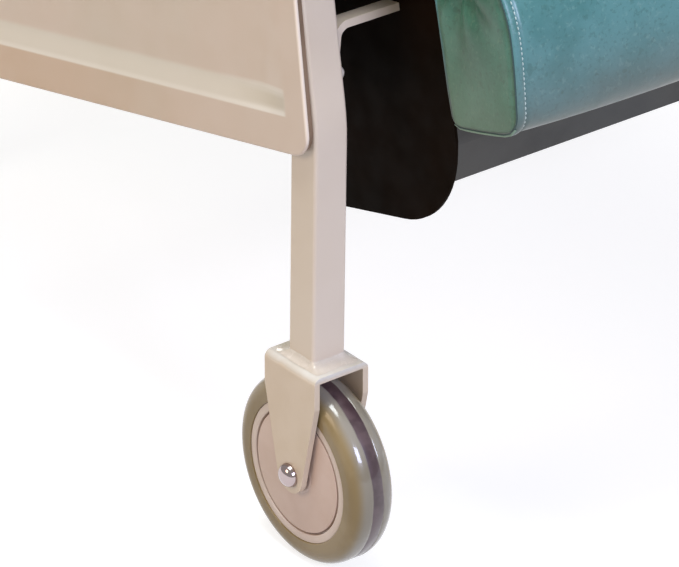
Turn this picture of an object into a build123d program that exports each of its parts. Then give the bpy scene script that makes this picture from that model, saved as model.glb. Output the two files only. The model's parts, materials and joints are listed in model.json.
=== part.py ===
from build123d import *
import os
from math import cos, radians, sin, tan

# Patient recliner chair: a square-tube base on two fixed front wheels and two rear casters,
# with a back and a leg rest that recline together.
# Millimetres. The origin is on the floor under the middle of the chair, +Y is the rear, +Z is
# up, and the sitter's right is -X. Right-hand pieces are drawn and mirrored for the left.
# Side-view places are (y, z), with y measured rearward from the front axle.

# Layout
front_axle_y = -354.9  # front axle, from the origin
frame_centre_x = 305.0  # middle plane of each side frame, from the chair's centre
wheelbase = 590.0  # front axle to the rear casters' swivel axis
body_tilt = 12.4  # slope of the seat, rails and panels, down to the rear, degrees

# Square tube
tube_side = 25.4
tube_wall = 1.6
tube_corner = 2.5
weld_gap = 0.05  # between a trimmed tube's end and the tube it meets

# Wheels
wheel_radius = 63.5
tyre_width = 32.0
tyre_shoulder = 11.0
hub_radius = 47.4
hub_width = 30.8
hub_groove_radius = 41.4
hub_groove_width = 1.8
hub_groove_depth = 1.4
axle_radius = 5.0
running_clearance = 0.05

# Forks
fork_top = 142.0
fork_plate = 4.2
fork_gap = 34.0
fork_bend = 5.0
fork_half_length = 25.4
fork_tip_radius = 12.5
fork_shoulder_drop = 22.0
nut_across_flats = 14.0
nut_height = 4.2
dome_radius = 6.6

# Rear casters
caster_trail = 38.0
swivel_gap = 0.3
swivel_head_radius = 20.0
swivel_head_height = 8.7
stem_radius = 12.0
stem_height = 5.0
kingpin_radius = 6.0
kingpin_nut_height = 6.0
kingpin_nut_radius = 10.0
pedal_pivot_y = 56.0  # from the swivel axis
pedal_pivot_z = 133.0
pedal_pin_radius = 2.5
pedal_hub_radius = 5.4
pedal_ear_radius = 8.0
pedal_width = 30.0
pedal_reach = 46.0
pedal_thickness = 3.5
pedal_rise = 12.0  # degrees above level when the brake is off
crown_rear = 32.0  # end of the crown plate, behind the swivel axis

# Front legs
leg_foot_lean = -1.0  # degrees, forward
leg_bend_z = 305.0
leg_bend_radius = 120.0
leg_lean = 9.5  # degrees rearward above the bend
rear_leg_lean = -6.9  # degrees, forward
arm_rail_front_z = 700.0
arm_slope = 6.0  # degrees, down to the rear
arm_rail_end = 6.0  # rail past each leg's face
side_rail_rise = 15.0  # rail centre above the panels' bottom edge

# Side panels
panel_thickness = 6.3
panel_corner_y = -20.3
panel_corner_z = 291.1
panel_front_lean = 8.4
panel_corner_radius = 17.0
panel_rear_radius = 30.0
panel_past_leg = 3.0
panel_top_round = 8.0
panel_border = 26.0
panel_recess_round = 12.0
panel_recess_depth = 4.0
panel_recess_slope = 72.0  # degrees from the recess's depth
panel_edge_round = 1.6
panel_screw_radius = 2.5
panel_screw_head_radius = 5.0
panel_screw_head_height = 2.8
panel_screw_bite = 1.8
panel_screws_front = (240.0, 90.0)  # down the front leg from the arm rail
panel_screws_rear = (414.6, 264.6, 44.6)  # down the rear leg from the arm rail
panel_screws_low = (150.0, 420.0)  # along the side rail
panel_screws_high = (240.0, 410.0)  # along the arm rail

# Arm pads
arm_pad_length = 505.0
arm_pad_width = 70.0
arm_pad_thickness = 36.0
arm_pad_start = 36.0  # pad's front end, behind the front axle
arm_pad_round = 9.0
arm_pad_nose = 30.0

# Seat
seat_front_y = -44.3  # cushion's bottom front edge
seat_front_z = 467.1
seat_length = 478.0
seat_thickness = 86.0
seat_half_width = 265.0
seat_crown = 9.0
seat_nose_radius = 34.0
seat_corner_radius = 16.0
seat_board_thickness = 12.0
seat_board_inset = 6.0
board_corner = 12.0
seat_tube_places = (70.0, 350.0)  # cross tubes under the board, from the cushion's front

# Back
back_pivot_behind = 45.45  # pivot behind the seat cushion's bottom rear edge
back_pivot_z = 440.0
back_lean = 19.4
back_start = 15.0  # cushion's lower end above the pivot
back_length = 765.0
back_front = 40.0  # cushion's face in front of the pivot
back_thickness = 100.0
back_half_width = 265.0
back_crown = 10.0
back_channels = (245.0, 500.0)  # sewn channels, from the cushion's lower end
back_channel_depth = 13.0
back_head_radius = 40.0
back_foot_radius = 22.0
back_board_thickness = 12.0
back_board_inset = 10.0
back_tube_centre_x = 257.0
back_tube_length = 720.0
back_cross_place = 46.0

# Push handle
handle_radius = 11.0
handle_place = 668.0  # along the back
handle_reach = 78.0
handle_bend = 30.0

# Leg rest
legrest_pivot_y = -74.0
legrest_pivot_z = 521.0
legrest_lean = 15.5
legrest_length = 199.5  # below the pivot
legrest_thickness = 66.0
legrest_half_width = 275.0
legrest_crown = 9.0
legrest_toe_radius = 20.0
legrest_heel_radius = 7.0
legrest_board_thickness = 12.0
legrest_board_end = 15.0
legrest_board_half_width = 255.0
legrest_arm_length = 65.0
legrest_swing = 75.0

# Soft pieces
cushion_stations = (-1.0, -0.85, -0.5, 0.0, 0.5, 0.85, 1.0)
cushion_draw_in = 5.0
soft_gap = 0.3

# Plates, pins and links
plate = 5.0
plate_round = 16.0
crank_end_radius = 11.2
pin_radius = 6.0
crank_pin_radius = 4.0
link_thickness = 4.0
link_half_height = 8.0
link_open_radius = 11.5  # the link's end with the wide hole
link_gap = 1.5
back_swing = 45.0
legrest_crank = 45.0
open_pivot_gap = 3.0  # play of the link's rear hole
pin_head = 4.0
pin_head_radius = 9.0

# Front cover under the seat
cover_half_width = 242.4
cover_sheet = 2.0
cover_front_y = -57.3
cover_front_lean = 10.0
cover_lean_z = 293.4  # the front wall leans above this height
cover_bottom_y = -13.5
cover_bottom_z = 222.5
cover_bottom_slope = 14.7
cover_corner_radius = 46.0
cover_sheet_foot_z = 266.7  # lower edge of the front sheet
cover_sheet_bend = 30.0
cover_rear_y = 79.7
cover_rear_radius = 18.0
cover_rear_z = 404.0
cover_top_step_y = -6.0
cover_top_z = 446.0
bracket_bar_top = 365.0
bracket_bar_width = 12.7
bracket_bar_foot = 330.0
bracket_bar_back = 4.5  # behind the leg's front face
bracket_bar_bend = 8.0

# Gas spring
anchor_y = 352.0
anchor_z = 235.0
anchor_tube_y = 322.0
spring_lug_below = 0.0  # lug pin, along the back from the pivot
spring_lug_behind = 85.0  # lug pin behind the pivot
spring_rod_radius = 5.0
spring_rod_length = 168.0
spring_piston_length = 9.0
spring_body_radius = 12.0
spring_body_wall = 3.0
spring_body_start = 108.0
spring_body_gap = 18.0  # the body ends short of the lug's pin
spring_eye_radius = 12.5
spring_eye_width = 12.0
spring_eye_gap = 4.2  # play of the upper eye
eye_wall = 1.0  # left round an eye's hole where its bar joins
release_head_length = 22.0
release_head_width = 18.0
lug_gap = 0.5
lug_plate = 3.0
lug_root_radius = 12.0
lug_tip_radius = 9.0

# Release lever
lever_pivot_y = 165.0
lever_drop = 14.0  # pivot below the arm rail's centre
lever_length = 92.0
lever_plate = 4.0
lever_half_height = 7.0
lever_pivot_radius = 9.0
lever_slope = 14.0
lever_pin_radius = 3.0
grip_length = 52.0
grip_radius = 9.0
grip_wall = 3.5
grip_end_round = 8.0
grip_edge_round = 2.4
lever_collar = 4.0
lever_collar_radius = 7.0

# Worked out from the above
tube_half = tube_side / 2
half_plate = plate / 2
frame_inner_x = frame_centre_x - tube_half
frame_outer_x = frame_centre_x + tube_half
fork_half_width = fork_gap / 2 + fork_plate
pivot_plate_x = frame_inner_x - plate  # inner face of the brackets on the frame
legrest_arm_x = legrest_half_width + soft_gap + plate  # outer face of the leg rest's arms
link_outer_x = pivot_plate_x - link_gap
back_plate_x = back_tube_centre_x + tube_half + plate  # outer face of the back's hinge plates
back_crank = legrest_crank * sin(radians(legrest_swing / 2)) / sin(radians(back_swing / 2))
seat_down = -seat_board_thickness - tube_half  # tube centres below the cushion's bottom
socket_top = fork_top + swivel_gap + swivel_head_height + stem_height
back_pivot_y = seat_front_y + seat_length * cos(radians(body_tilt)) + back_pivot_behind


def place(x, y, z):
    """A point of the chair from its side-view place."""
    return Vector(x, front_axle_y + y, z)


def side_plane(x):
    """Side view at x: local x runs rearward from the front axle, local y up from the floor."""
    return Plane(origin=place(x, 0, 0), x_dir=(0, 1, 0), z_dir=(1, 0, 0))


def seat_plane(x):
    """Side view in the seat's slope, from the cushion's bottom front edge."""
    slope = radians(body_tilt)
    origin = place(x, seat_front_y, seat_front_z)
    return Plane(origin=origin, x_dir=(0, cos(slope), -sin(slope)), z_dir=(1, 0, 0))


def back_plane(x):
    """Side view along the back: local x runs up from the pivot, local y forward."""
    lean = radians(back_lean)
    origin = place(x, back_pivot_y, back_pivot_z)
    return Plane(origin=origin, x_dir=(0, sin(lean), cos(lean)), z_dir=(1, 0, 0))


def legrest_plane(x):
    """Side view along the leg rest: local x runs down from its pivot, local y rearward."""
    lean = radians(legrest_lean)
    origin = place(x, legrest_pivot_y, legrest_pivot_z)
    return Plane(origin=origin, x_dir=(0, -sin(lean), -cos(lean)), z_dir=(1, 0, 0))


def leg_y(z):
    """Front leg's centre line above its bend."""
    foot = (leg_bend_z - fork_top) * tan(radians(leg_foot_lean))
    return foot + (z - leg_bend_z) * tan(radians(leg_lean))


def rear_leg_y(z):
    """Rear leg's centre line."""
    return wheelbase + (z - socket_top) * tan(radians(rear_leg_lean))


def rail_z(y):
    """Side rail's centre line."""
    drop = tan(radians(body_tilt))
    rise = side_rail_rise / cos(radians(body_tilt))
    return panel_corner_z + rise - (y - panel_corner_y) * drop


def arm_z(y):
    """Arm rail's centre line."""
    return arm_rail_front_z - (y - leg_y(arm_rail_front_z)) * tan(radians(arm_slope))


def seat_line(y):
    """Centre line of the rails that carry the seat's cross tubes."""
    slope = radians(body_tilt)
    start_y = seat_front_y + seat_down * sin(slope)
    start_z = seat_front_z + seat_down * cos(slope)
    return start_z - (y - start_y) * tan(slope)


def keep(piece, name):
    """Labels a finished piece and writes it."""
    piece.label = name
    export_step(piece, f"parts/{name}.step")


def keep_pair(piece, name):
    """Writes a right-hand piece and its mirror image."""
    keep(piece, f"right_{name}")
    keep(mirror(piece, about=Plane.YZ), f"left_{name}")


def tube_run(points, section_x=(1, 0, 0), bend=0.0, capped=False):
    """Hollow square tube along a path, with its ends closed by plates if it is capped."""
    with BuildPart() as run:
        with BuildLine() as path:
            if bend:
                FilletPolyline(*points, radius=bend)
            else:
                Polyline(*points)
        with BuildSketch(Plane(origin=path.line @ 0, x_dir=section_x, z_dir=path.line % 0)):
            RectangleRounded(tube_side, tube_side, tube_corner)
            bore = tube_side - 2 * tube_wall
            RectangleRounded(bore, bore, tube_corner - tube_wall, mode=Mode.SUBTRACT)
        sweep()
        if capped:
            for spot, inward in ((path.line @ 0, path.line % 0), (path.line @ 1, -(path.line % 1))):
                with BuildSketch(Plane(origin=spot, x_dir=section_x, z_dir=inward)):
                    RectangleRounded(tube_side, tube_side, tube_corner)
                extrude(amount=tube_wall)
    return run.part


def tube_cutter(points, bend=0.0):
    """Solid bar that trims other tubes to butt against the tube along the same path."""
    side = tube_side + 2 * weld_gap
    with BuildPart() as bar:
        with BuildLine() as path:
            if bend:
                FilletPolyline(*points, radius=bend)
            else:
                Polyline(*points)
        with BuildSketch(Plane(origin=path.line @ 0, x_dir=(1, 0, 0), z_dir=path.line % 0)):
            RectangleRounded(side, side, tube_corner)
        sweep()
    return bar.part


def plate_hull(plane, discs, thickness, holes=()):
    """Flat plate round a few discs (place, radius), with round holes (place, radius)."""
    with BuildPart() as flat:
        with BuildSketch(plane):
            for spot, radius in discs:
                with Locations(spot):
                    Circle(radius)
            make_hull()
            for spot, radius in holes:
                with Locations(spot):
                    Circle(radius, mode=Mode.SUBTRACT)
        extrude(amount=thickness)
    return flat.part


os.makedirs("parts", exist_ok=True)

# Side frames, drawn on the right
right_x = -frame_centre_x
front_leg_path = [
    place(right_x, 0, fork_top - tube_side),
    place(right_x, (leg_bend_z - fork_top) * tan(radians(leg_foot_lean)), leg_bend_z),
    place(right_x, leg_y(arm_rail_front_z), arm_rail_front_z),
]
rear_leg_path = [
    place(right_x, rear_leg_y(socket_top - tube_side), socket_top - tube_side),
    place(right_x, rear_leg_y(arm_z(wheelbase)), arm_z(wheelbase)),
]
arm_front_y = leg_y(arm_rail_front_z) - tube_half - arm_rail_end
arm_rear_y = rear_leg_y(arm_z(wheelbase)) + tube_half + arm_rail_end
arm_rail_path = [
    place(right_x, arm_front_y, arm_z(arm_front_y)),
    place(right_x, arm_rear_y, arm_z(arm_rear_y)),
]
side_rail_path = [
    place(right_x, leg_y(leg_bend_z), rail_z(leg_y(leg_bend_z))),
    place(right_x, wheelbase, rail_z(wheelbase)),
]
seat_rail_front = leg_y(seat_line(leg_y(leg_bend_z)))
seat_rail_path = [
    place(right_x, seat_rail_front, seat_line(seat_rail_front)),
    place(right_x, rear_leg_y(seat_line(wheelbase)), seat_line(rear_leg_y(seat_line(wheelbase)))),
]

front_leg_bar = tube_cutter(front_leg_path, bend=leg_bend_radius)
rear_leg_bar = tube_cutter(rear_leg_path)
arm_rail_bar = tube_cutter(arm_rail_path)

# Screws that hold each side panel, from the inner faces of the tubes
screw_heights = [arm_rail_front_z - drop for drop in panel_screws_front]
screw_places = [(leg_y(z), z) for z in screw_heights]
screw_heights = [arm_z(wheelbase) - drop for drop in panel_screws_rear]
screw_places += [(rear_leg_y(z), z) for z in screw_heights]
screw_places += [(y, rail_z(y)) for y in panel_screws_low]
screw_places += [(y, arm_z(y)) for y in panel_screws_high]


def screws(shank_radius, head_radius):
    """Right panel's screws as solids; with a wider shank they cut their own holes."""
    with BuildPart() as group:
        with BuildSketch(side_plane(-frame_inner_x)):
            with Locations(*screw_places):
                Circle(shank_radius)
        extrude(amount=-(tube_side + panel_screw_bite))
        if head_radius:
            with BuildSketch(side_plane(-frame_inner_x)):
                with Locations(*screw_places):
                    Circle(head_radius)
            extrude(amount=panel_screw_head_height)
            heads = group.edges().filter_by(GeomType.CIRCLE).group_by(Axis.X)[-1]
            fillet(heads, panel_screw_head_height / 2)
    return group.part


screw_holes = screws(panel_screw_radius + running_clearance, 0)

with BuildPart() as front_leg:
    add(tube_run(front_leg_path, bend=leg_bend_radius))
    split(bisect_by=Plane.XY.offset(fork_top), keep=Keep.TOP)
    add(arm_rail_bar, mode=Mode.SUBTRACT)
    add(screw_holes, mode=Mode.SUBTRACT)
keep_pair(front_leg.part, "front_leg")

with BuildPart() as rear_leg:
    add(tube_run(rear_leg_path))
    split(bisect_by=Plane.XY.offset(socket_top), keep=Keep.TOP)
    add(arm_rail_bar, mode=Mode.SUBTRACT)
    add(screw_holes, mode=Mode.SUBTRACT)
keep_pair(rear_leg.part, "rear_leg")

with BuildPart() as arm_rail:
    add(tube_run(arm_rail_path, capped=True))
    add(screw_holes, mode=Mode.SUBTRACT)
keep_pair(arm_rail.part, "arm_rail")

with BuildPart() as side_rails:
    add(tube_run(side_rail_path))
    split(bisect_by=Plane.XY.offset(socket_top + weld_gap), keep=Keep.TOP)
    add(front_leg_bar, mode=Mode.SUBTRACT)
    add(rear_leg_bar, mode=Mode.SUBTRACT)
    add(screw_holes, mode=Mode.SUBTRACT)
    mirror(about=Plane.YZ)
keep(side_rails.part, "side_rails")

with BuildPart() as seat_rails:
    add(tube_run(seat_rail_path))
    add(front_leg_bar, mode=Mode.SUBTRACT)
    add(rear_leg_bar, mode=Mode.SUBTRACT)
    mirror(about=Plane.YZ)
keep(seat_rails.part, "seat_rails")


def cross_tube(centre, slope):
    """Square tube across the chair, between the side frames' inner faces."""
    start = Vector(-frame_inner_x, centre.Y, centre.Z)
    end = Vector(frame_inner_x, centre.Y, centre.Z)
    tilt = radians(slope)
    return tube_run([start, end], section_x=(0, cos(tilt), -sin(tilt)))


with BuildPart() as cross_tubes:
    for spot in seat_tube_places:
        add(cross_tube(seat_plane(0).from_local_coords(Vector(spot, seat_down, 0)), body_tilt))
    add(cross_tube(place(0, anchor_tube_y, rail_z(anchor_tube_y)), body_tilt))
    low_z = rail_z(wheelbase)
    add(cross_tube(place(0, rear_leg_y(low_z), low_z), 0))
keep(cross_tubes.part, "cross_tubes")

# Side panel, with a shallow recess inside its border
panel_drop = tan(radians(body_tilt))
arm_top = tube_half / cos(radians(arm_slope))  # rail's top above its centre line
panel_front_lift = arm_rail_front_z - panel_corner_z
panel_front_top = panel_corner_y + panel_front_lift * tan(radians(panel_front_lean))
panel_rear_foot = wheelbase + tube_half + panel_past_leg
panel_outline = [
    (panel_corner_y, panel_corner_z),
    (panel_rear_foot, panel_corner_z - (panel_rear_foot - panel_corner_y) * panel_drop),
    (arm_rear_y, arm_z(arm_rear_y) + arm_top - soft_gap),
    (panel_front_top, arm_z(panel_front_top) + arm_top - soft_gap),
]
panel_outer_x = frame_outer_x + panel_thickness

with BuildPart() as side_panel:
    with BuildSketch(side_plane(-panel_outer_x)) as panel_face:
        with BuildLine():
            Polyline(*panel_outline, close=True)
        make_face()
        fillet(panel_face.vertices().sort_by(Axis.Y)[0], panel_rear_radius)
        fillet(panel_face.vertices().sort_by(Axis.X)[0], panel_corner_radius)
        fillet(panel_face.vertices().sort_by(Axis.Y)[-2:], panel_top_round)
    extrude(amount=panel_thickness)
    outer_edges = side_panel.faces().sort_by(Axis.X)[0].edges()
    fillet(outer_edges, panel_edge_round)
    with BuildSketch(side_plane(-panel_outer_x)) as recess:
        with BuildLine():
            Polyline(*panel_outline, close=True)
        make_face()
        offset(amount=-panel_border, kind=Kind.INTERSECTION, mode=Mode.REPLACE)
        fillet(recess.vertices(), panel_recess_round)
    extrude(amount=panel_recess_depth, taper=panel_recess_slope, mode=Mode.SUBTRACT)
    add(screw_holes, mode=Mode.SUBTRACT)
keep_pair(side_panel.part, "side_panel")

with BuildPart() as panel_screws:
    add(screws(panel_screw_radius, panel_screw_head_radius))
    mirror(about=Plane.YZ)
keep(panel_screws.part, "panel_screws")


def fork_blank(centre_y, outline):
    """Plate bent over the wheel, cut to the hull of the shapes that outline draws."""
    reach = wheel_radius + caster_trail
    with BuildPart() as fork:
        origin = place(right_x, centre_y, 0)
        with BuildSketch(Plane(origin=origin, x_dir=(1, 0, 0), z_dir=(0, -1, 0))):
            with Locations((0, fork_top / 2)):
                bend = Rectangle(2 * fork_half_width, fork_top)
            fillet(bend.vertices().sort_by(Axis.Y)[2:], fork_bend)
            with Locations((0, (fork_top - fork_plate) / 2)):
                Rectangle(fork_gap, fork_top - fork_plate, mode=Mode.SUBTRACT)
        extrude(amount=reach, both=True)
        with BuildSketch(side_plane(right_x - fork_half_width)):
            with Locations((centre_y, 0)):
                outline()
            make_hull()
        extrude(amount=2 * fork_half_width, mode=Mode.INTERSECT)
    return fork.part


def fork_head():
    """Side outline of a fork's top."""
    with Locations((0, fork_top - fork_shoulder_drop / 2)):
        Rectangle(2 * fork_half_length, fork_shoulder_drop)


def front_outline():
    """Ears straight down to the axle."""
    fork_head()
    with Locations((0, wheel_radius)):
        Circle(fork_tip_radius)


def caster_outline():
    """Ears swept back to the axle, with an ear for the brake pedal."""
    fork_head()
    with Locations((caster_trail, wheel_radius)):
        Circle(fork_tip_radius)
    with Locations((pedal_pivot_y, pedal_pivot_z)):
        Circle(pedal_ear_radius)


def cross_rod(y, z, radius, half_length, centre_x=right_x):
    """Round bar across the chair, about its middle."""
    with BuildPart() as rod:
        with BuildSketch(side_plane(centre_x)):
            with Locations((y, z)):
                Circle(radius)
        extrude(amount=half_length, both=True)
    return rod.part


with BuildPart() as front_fork:
    add(fork_blank(0, front_outline))
    add(cross_rod(0, wheel_radius, axle_radius + running_clearance, fork_gap), mode=Mode.SUBTRACT)
keep_pair(front_fork.part, "front_fork")

with BuildPart() as front_axles:
    add(cross_rod(0, wheel_radius, axle_radius, fork_half_width + nut_height))
    mirror(about=Plane.YZ)
keep(front_axles.part, "front_axles")


def dome_nut(y, z, side):
    """Domed hexagon nut on a fork's ear, facing away from the wheel."""
    seat = Plane(
        origin=place(right_x + side * fork_half_width, y, z), x_dir=(0, 1, 0), z_dir=(side, 0, 0)
    )
    with BuildPart() as nut:
        with BuildSketch(seat):
            RegularPolygon(nut_across_flats / 2, 6, major_radius=False)
            Circle(axle_radius + running_clearance, mode=Mode.SUBTRACT)
        extrude(amount=nut_height)
        with Locations(seat.offset(nut_height)):
            Sphere(dome_radius, arc_size1=0, align=(Align.CENTER, Align.CENTER, Align.MIN))
    return nut.part


with BuildPart() as front_axle_nuts:
    add(dome_nut(0, wheel_radius, -1))
    add(dome_nut(0, wheel_radius, 1))
    mirror(about=Plane.YZ)
keep(front_axle_nuts.part, "front_axle_nuts")


def wheel_pieces(centre_y):
    """Tyre and hub of one wheel."""
    centre = place(right_x, centre_y, wheel_radius)
    section = Plane(origin=centre, x_dir=(1, 0, 0), z_dir=(0, -1, 0))
    spin = Axis(centre, (1, 0, 0))
    bore = axle_radius + running_clearance
    with BuildPart() as tyre:
        with BuildSketch(section) as rubber:
            with Locations((0, (wheel_radius + hub_radius) / 2)):
                band = Rectangle(tyre_width, wheel_radius - hub_radius)
            fillet(band.vertices().sort_by(Axis.Y)[2:], tyre_shoulder)
        revolve(axis=spin)
    with BuildPart() as hub:
        with BuildSketch(section):
            with Locations((0, (hub_radius + bore) / 2)):
                Rectangle(hub_width, hub_radius - bore)
            with Locations((-hub_width / 2, hub_groove_radius), (hub_width / 2, hub_groove_radius)):
                Rectangle(2 * hub_groove_depth, hub_groove_width, mode=Mode.SUBTRACT)
        revolve(axis=spin)
    return tyre.part, hub.part


front_tyre, front_hub = wheel_pieces(0)
keep_pair(front_tyre, "front_tyre")
keep_pair(front_hub, "front_hub")

# Rear casters, trailing
caster_axle_y = wheelbase + caster_trail
rear_tyre, rear_hub = wheel_pieces(caster_axle_y)
keep_pair(rear_tyre, "rear_tyre")
keep_pair(rear_hub, "rear_hub")

swivel = place(right_x, wheelbase, fork_top)
pedal_y = wheelbase + pedal_pivot_y
with BuildPart() as caster_fork:
    add(fork_blank(wheelbase, caster_outline))
    with BuildSketch(Plane.XY.offset(fork_top - tube_side)):
        with Locations((right_x, swivel.Y + crown_rear + caster_trail)):
            Rectangle(fork_gap, 2 * caster_trail)
    extrude(amount=2 * tube_side, mode=Mode.SUBTRACT)
    with BuildSketch(Plane.XY.offset(fork_top - tube_side)):
        with Locations((right_x, swivel.Y)):
            Circle(kingpin_radius + running_clearance)
    extrude(amount=2 * tube_side, mode=Mode.SUBTRACT)
    for y, z, radius in (
        (caster_axle_y, wheel_radius, axle_radius),
        (pedal_y, pedal_pivot_z, pedal_pin_radius),
    ):
        add(cross_rod(y, z, radius + running_clearance, fork_gap), mode=Mode.SUBTRACT)
keep_pair(caster_fork.part, "caster_fork")

with BuildPart() as caster_pins:
    add(cross_rod(caster_axle_y, wheel_radius, axle_radius, fork_half_width + nut_height))
    add(cross_rod(pedal_y, pedal_pivot_z, pedal_pin_radius, fork_half_width + running_clearance))
    for side in (-1, 1):
        add(dome_nut(caster_axle_y, wheel_radius, side))
keep_pair(caster_pins.part, "caster_pins")

with BuildPart() as caster_sockets:
    underside = fork_top - fork_plate - swivel_gap
    for radius, start, end in (
        (kingpin_nut_radius, underside - kingpin_nut_height, underside),
        (kingpin_radius, underside, fork_top + swivel_gap),
        (swivel_head_radius, fork_top + swivel_gap, socket_top - stem_height),
        (stem_radius, socket_top - stem_height, socket_top),
    ):
        with BuildSketch(Plane.XY.offset(start)):
            with Locations((right_x, swivel.Y)):
                Circle(radius)
        extrude(amount=end - start)
    mirror(about=Plane.YZ)
keep(caster_sockets.part, "caster_sockets")

pedal_slope = radians(pedal_rise)
with BuildPart() as brake_pedal:
    pedal_view = Plane(
        origin=place(right_x - pedal_width / 2, pedal_y, pedal_pivot_z),
        x_dir=(0, cos(pedal_slope), sin(pedal_slope)),
        z_dir=(1, 0, 0),
    )
    with BuildSketch(pedal_view):
        Circle(pedal_hub_radius)
        with Locations((pedal_reach / 2, 0)):
            Rectangle(pedal_reach, pedal_thickness)
        with Locations((pedal_reach, 0)):
            Circle(pedal_thickness)
        Circle(pedal_pin_radius + running_clearance, mode=Mode.SUBTRACT)
    extrude(amount=pedal_width)
keep_pair(brake_pedal.part, "brake_pedal")

# Arm pads
arm_tilt = radians(arm_slope)
with BuildPart() as arm_pad:
    pad_seat = Plane(
        origin=place(right_x, arm_pad_start, arm_z(arm_pad_start) + arm_top),
        x_dir=(0, cos(arm_tilt), -sin(arm_tilt)),
        z_dir=(0, sin(arm_tilt), cos(arm_tilt)),
    )
    with BuildSketch(pad_seat):
        with Locations((arm_pad_length / 2, 0)):
            pad_plan = Rectangle(arm_pad_length, arm_pad_width)
        fillet(pad_plan.vertices(), arm_pad_nose)
    extrude(amount=arm_pad_thickness)
    rims = arm_pad.faces().filter_by(GeomType.PLANE).sort_by(Axis.Z)
    fillet(rims[-1].edges(), arm_pad_round)
keep_pair(arm_pad.part, "arm_pad")


def cushion(plane_at, half_width, profile):
    """Soft solid lofted across the chair, fuller in the middle than at its ends."""
    with BuildPart() as soft:
        for share in cushion_stations:
            with BuildSketch(plane_at(share * half_width)):
                add(profile(1 - share**4))
        loft()
    return soft.part


def bulge(start, end, rise):
    """Arc from start to end, standing out to the right of its direction by the rise."""
    chord = Vector(end) - Vector(start)
    outward = Vector(chord.Y, -chord.X).normalized()
    ThreePointArc(start, (Vector(start) + Vector(end)) / 2 + outward * rise, end)


def seat_profile(fullness):
    """Seat cushion's side view: flat underneath, crowned on top, with a rounded nose."""
    draw = cushion_draw_in * (1 - fullness)
    top = seat_thickness - seat_crown * (1 - fullness)
    foot, heel = (draw, 0), (seat_length - draw, 0)
    rear, nose = (seat_length - draw, top), (draw, top)
    with BuildSketch() as outline:
        with BuildLine():
            Line(foot, heel)
            bulge(heel, rear, cushion_draw_in / 2)
            bulge(rear, nose, seat_crown / 2)
            bulge(nose, foot, cushion_draw_in / 2)
        make_face()
        corners = outline.vertices().sort_by(Axis.X)
        fillet(corners[:2].sort_by(Axis.Y)[-1], seat_nose_radius)
        fillet(outline.vertices().sort_by(Axis.X)[-2:], seat_corner_radius)
    return outline.sketch


keep(cushion(seat_plane, seat_half_width, seat_profile), "seat_cushion")


def board(plane_at, start, end, low, thickness, half_width):
    """Flat board across the chair, seen edge on in a side plane."""
    with BuildPart() as flat:
        with BuildSketch(plane_at(-half_width)):
            with Locations(((start + end) / 2, low + thickness / 2)):
                Rectangle(end - start, thickness)
        extrude(amount=2 * half_width)
        corners = flat.edges().filter_by(lambda edge: abs(edge.length - thickness) < soft_gap)
        fillet(corners, board_corner)
    return flat.part


seat_board = board(
    seat_plane,
    seat_board_inset,
    seat_length - seat_board_inset,
    -seat_board_thickness,
    seat_board_thickness,
    seat_half_width - seat_board_inset,
)
keep(seat_board, "seat_board")


def back_profile(fullness):
    """Back cushion's side view: flat behind, with a sewn roll between each two channels."""
    draw = cushion_draw_in * (1 - fullness)
    rear = back_front - back_thickness
    face = back_front - back_crown * (1 - fullness)
    start, end = back_start + draw, back_start + back_length - draw
    seams = [back_start + spot for spot in back_channels]
    valleys = [(spot, face - back_channel_depth) for spot in seams]
    front = [(start, face), *valleys, (end, face)]
    with BuildSketch() as outline:
        with BuildLine():
            Line((start, rear), (end, rear))
            bulge((start, face), (start, rear), -cushion_draw_in / 2)
            bulge((end, rear), (end, face), cushion_draw_in / 2)
            for low, high in zip(front, front[1:]):
                bulge(low, high, -back_channel_depth)
        make_face()
        foot = outline.vertices().sort_by(Axis.X)[:2].sort_by(Axis.Y)[-1]
        fillet(foot, back_foot_radius)
        head = outline.vertices().sort_by(Axis.X)[-2:].sort_by(Axis.Y)[-1]
        fillet(head, back_head_radius)
    return outline.sketch


keep(cushion(back_plane, back_half_width, back_profile), "back_cushion")

back_rear = back_front - back_thickness
back_tube_line = back_rear - back_board_thickness - tube_half
back_board = board(
    back_plane,
    back_start + back_board_inset,
    back_start + back_length - back_board_inset,
    back_rear - back_board_thickness,
    back_board_thickness,
    back_half_width - back_board_inset,
)
keep(back_board, "back_board")


def on_back(x, along, forward):
    """A point of the chair from its place along the back."""
    return back_plane(x).from_local_coords(Vector(along, forward, 0))


back_up = back_plane(0).x_dir
with BuildPart() as back_tube:
    add(
        tube_run(
            [
                on_back(-back_tube_centre_x, back_start, back_tube_line),
                on_back(-back_tube_centre_x, back_start + back_tube_length, back_tube_line),
            ],
            capped=True,
        )
    )
keep_pair(back_tube.part, "back_tube")

back_tube_inner = back_tube_centre_x - tube_half
back_cross_tube = tube_run(
    [
        on_back(-back_tube_inner, back_cross_place, back_tube_line),
        on_back(back_tube_inner, back_cross_place, back_tube_line),
    ],
    section_x=back_up,
)
keep(back_cross_tube, "back_cross_tube")

# Push handle, welded behind the back's tubes
handle_plane = Plane(origin=on_back(0, handle_place, 0), x_dir=(1, 0, 0), z_dir=back_up)
handle_root = tube_half - back_tube_line
with BuildPart() as push_handle:
    with BuildLine(handle_plane) as handle_path:
        FilletPolyline(
            (-back_tube_centre_x, handle_root),
            (-back_tube_centre_x, handle_root + handle_reach),
            (back_tube_centre_x, handle_root + handle_reach),
            (back_tube_centre_x, handle_root),
            radius=handle_bend,
        )
    start = handle_path.line
    with BuildSketch(Plane(origin=start @ 0, x_dir=(1, 0, 0), z_dir=start % 0)):
        Circle(handle_radius)
        Circle(handle_radius - tube_wall, mode=Mode.SUBTRACT)
    sweep()
keep(push_handle.part, "push_handle")

# Leg rest: cushion with its board let into the rear face, and its two arms


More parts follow.
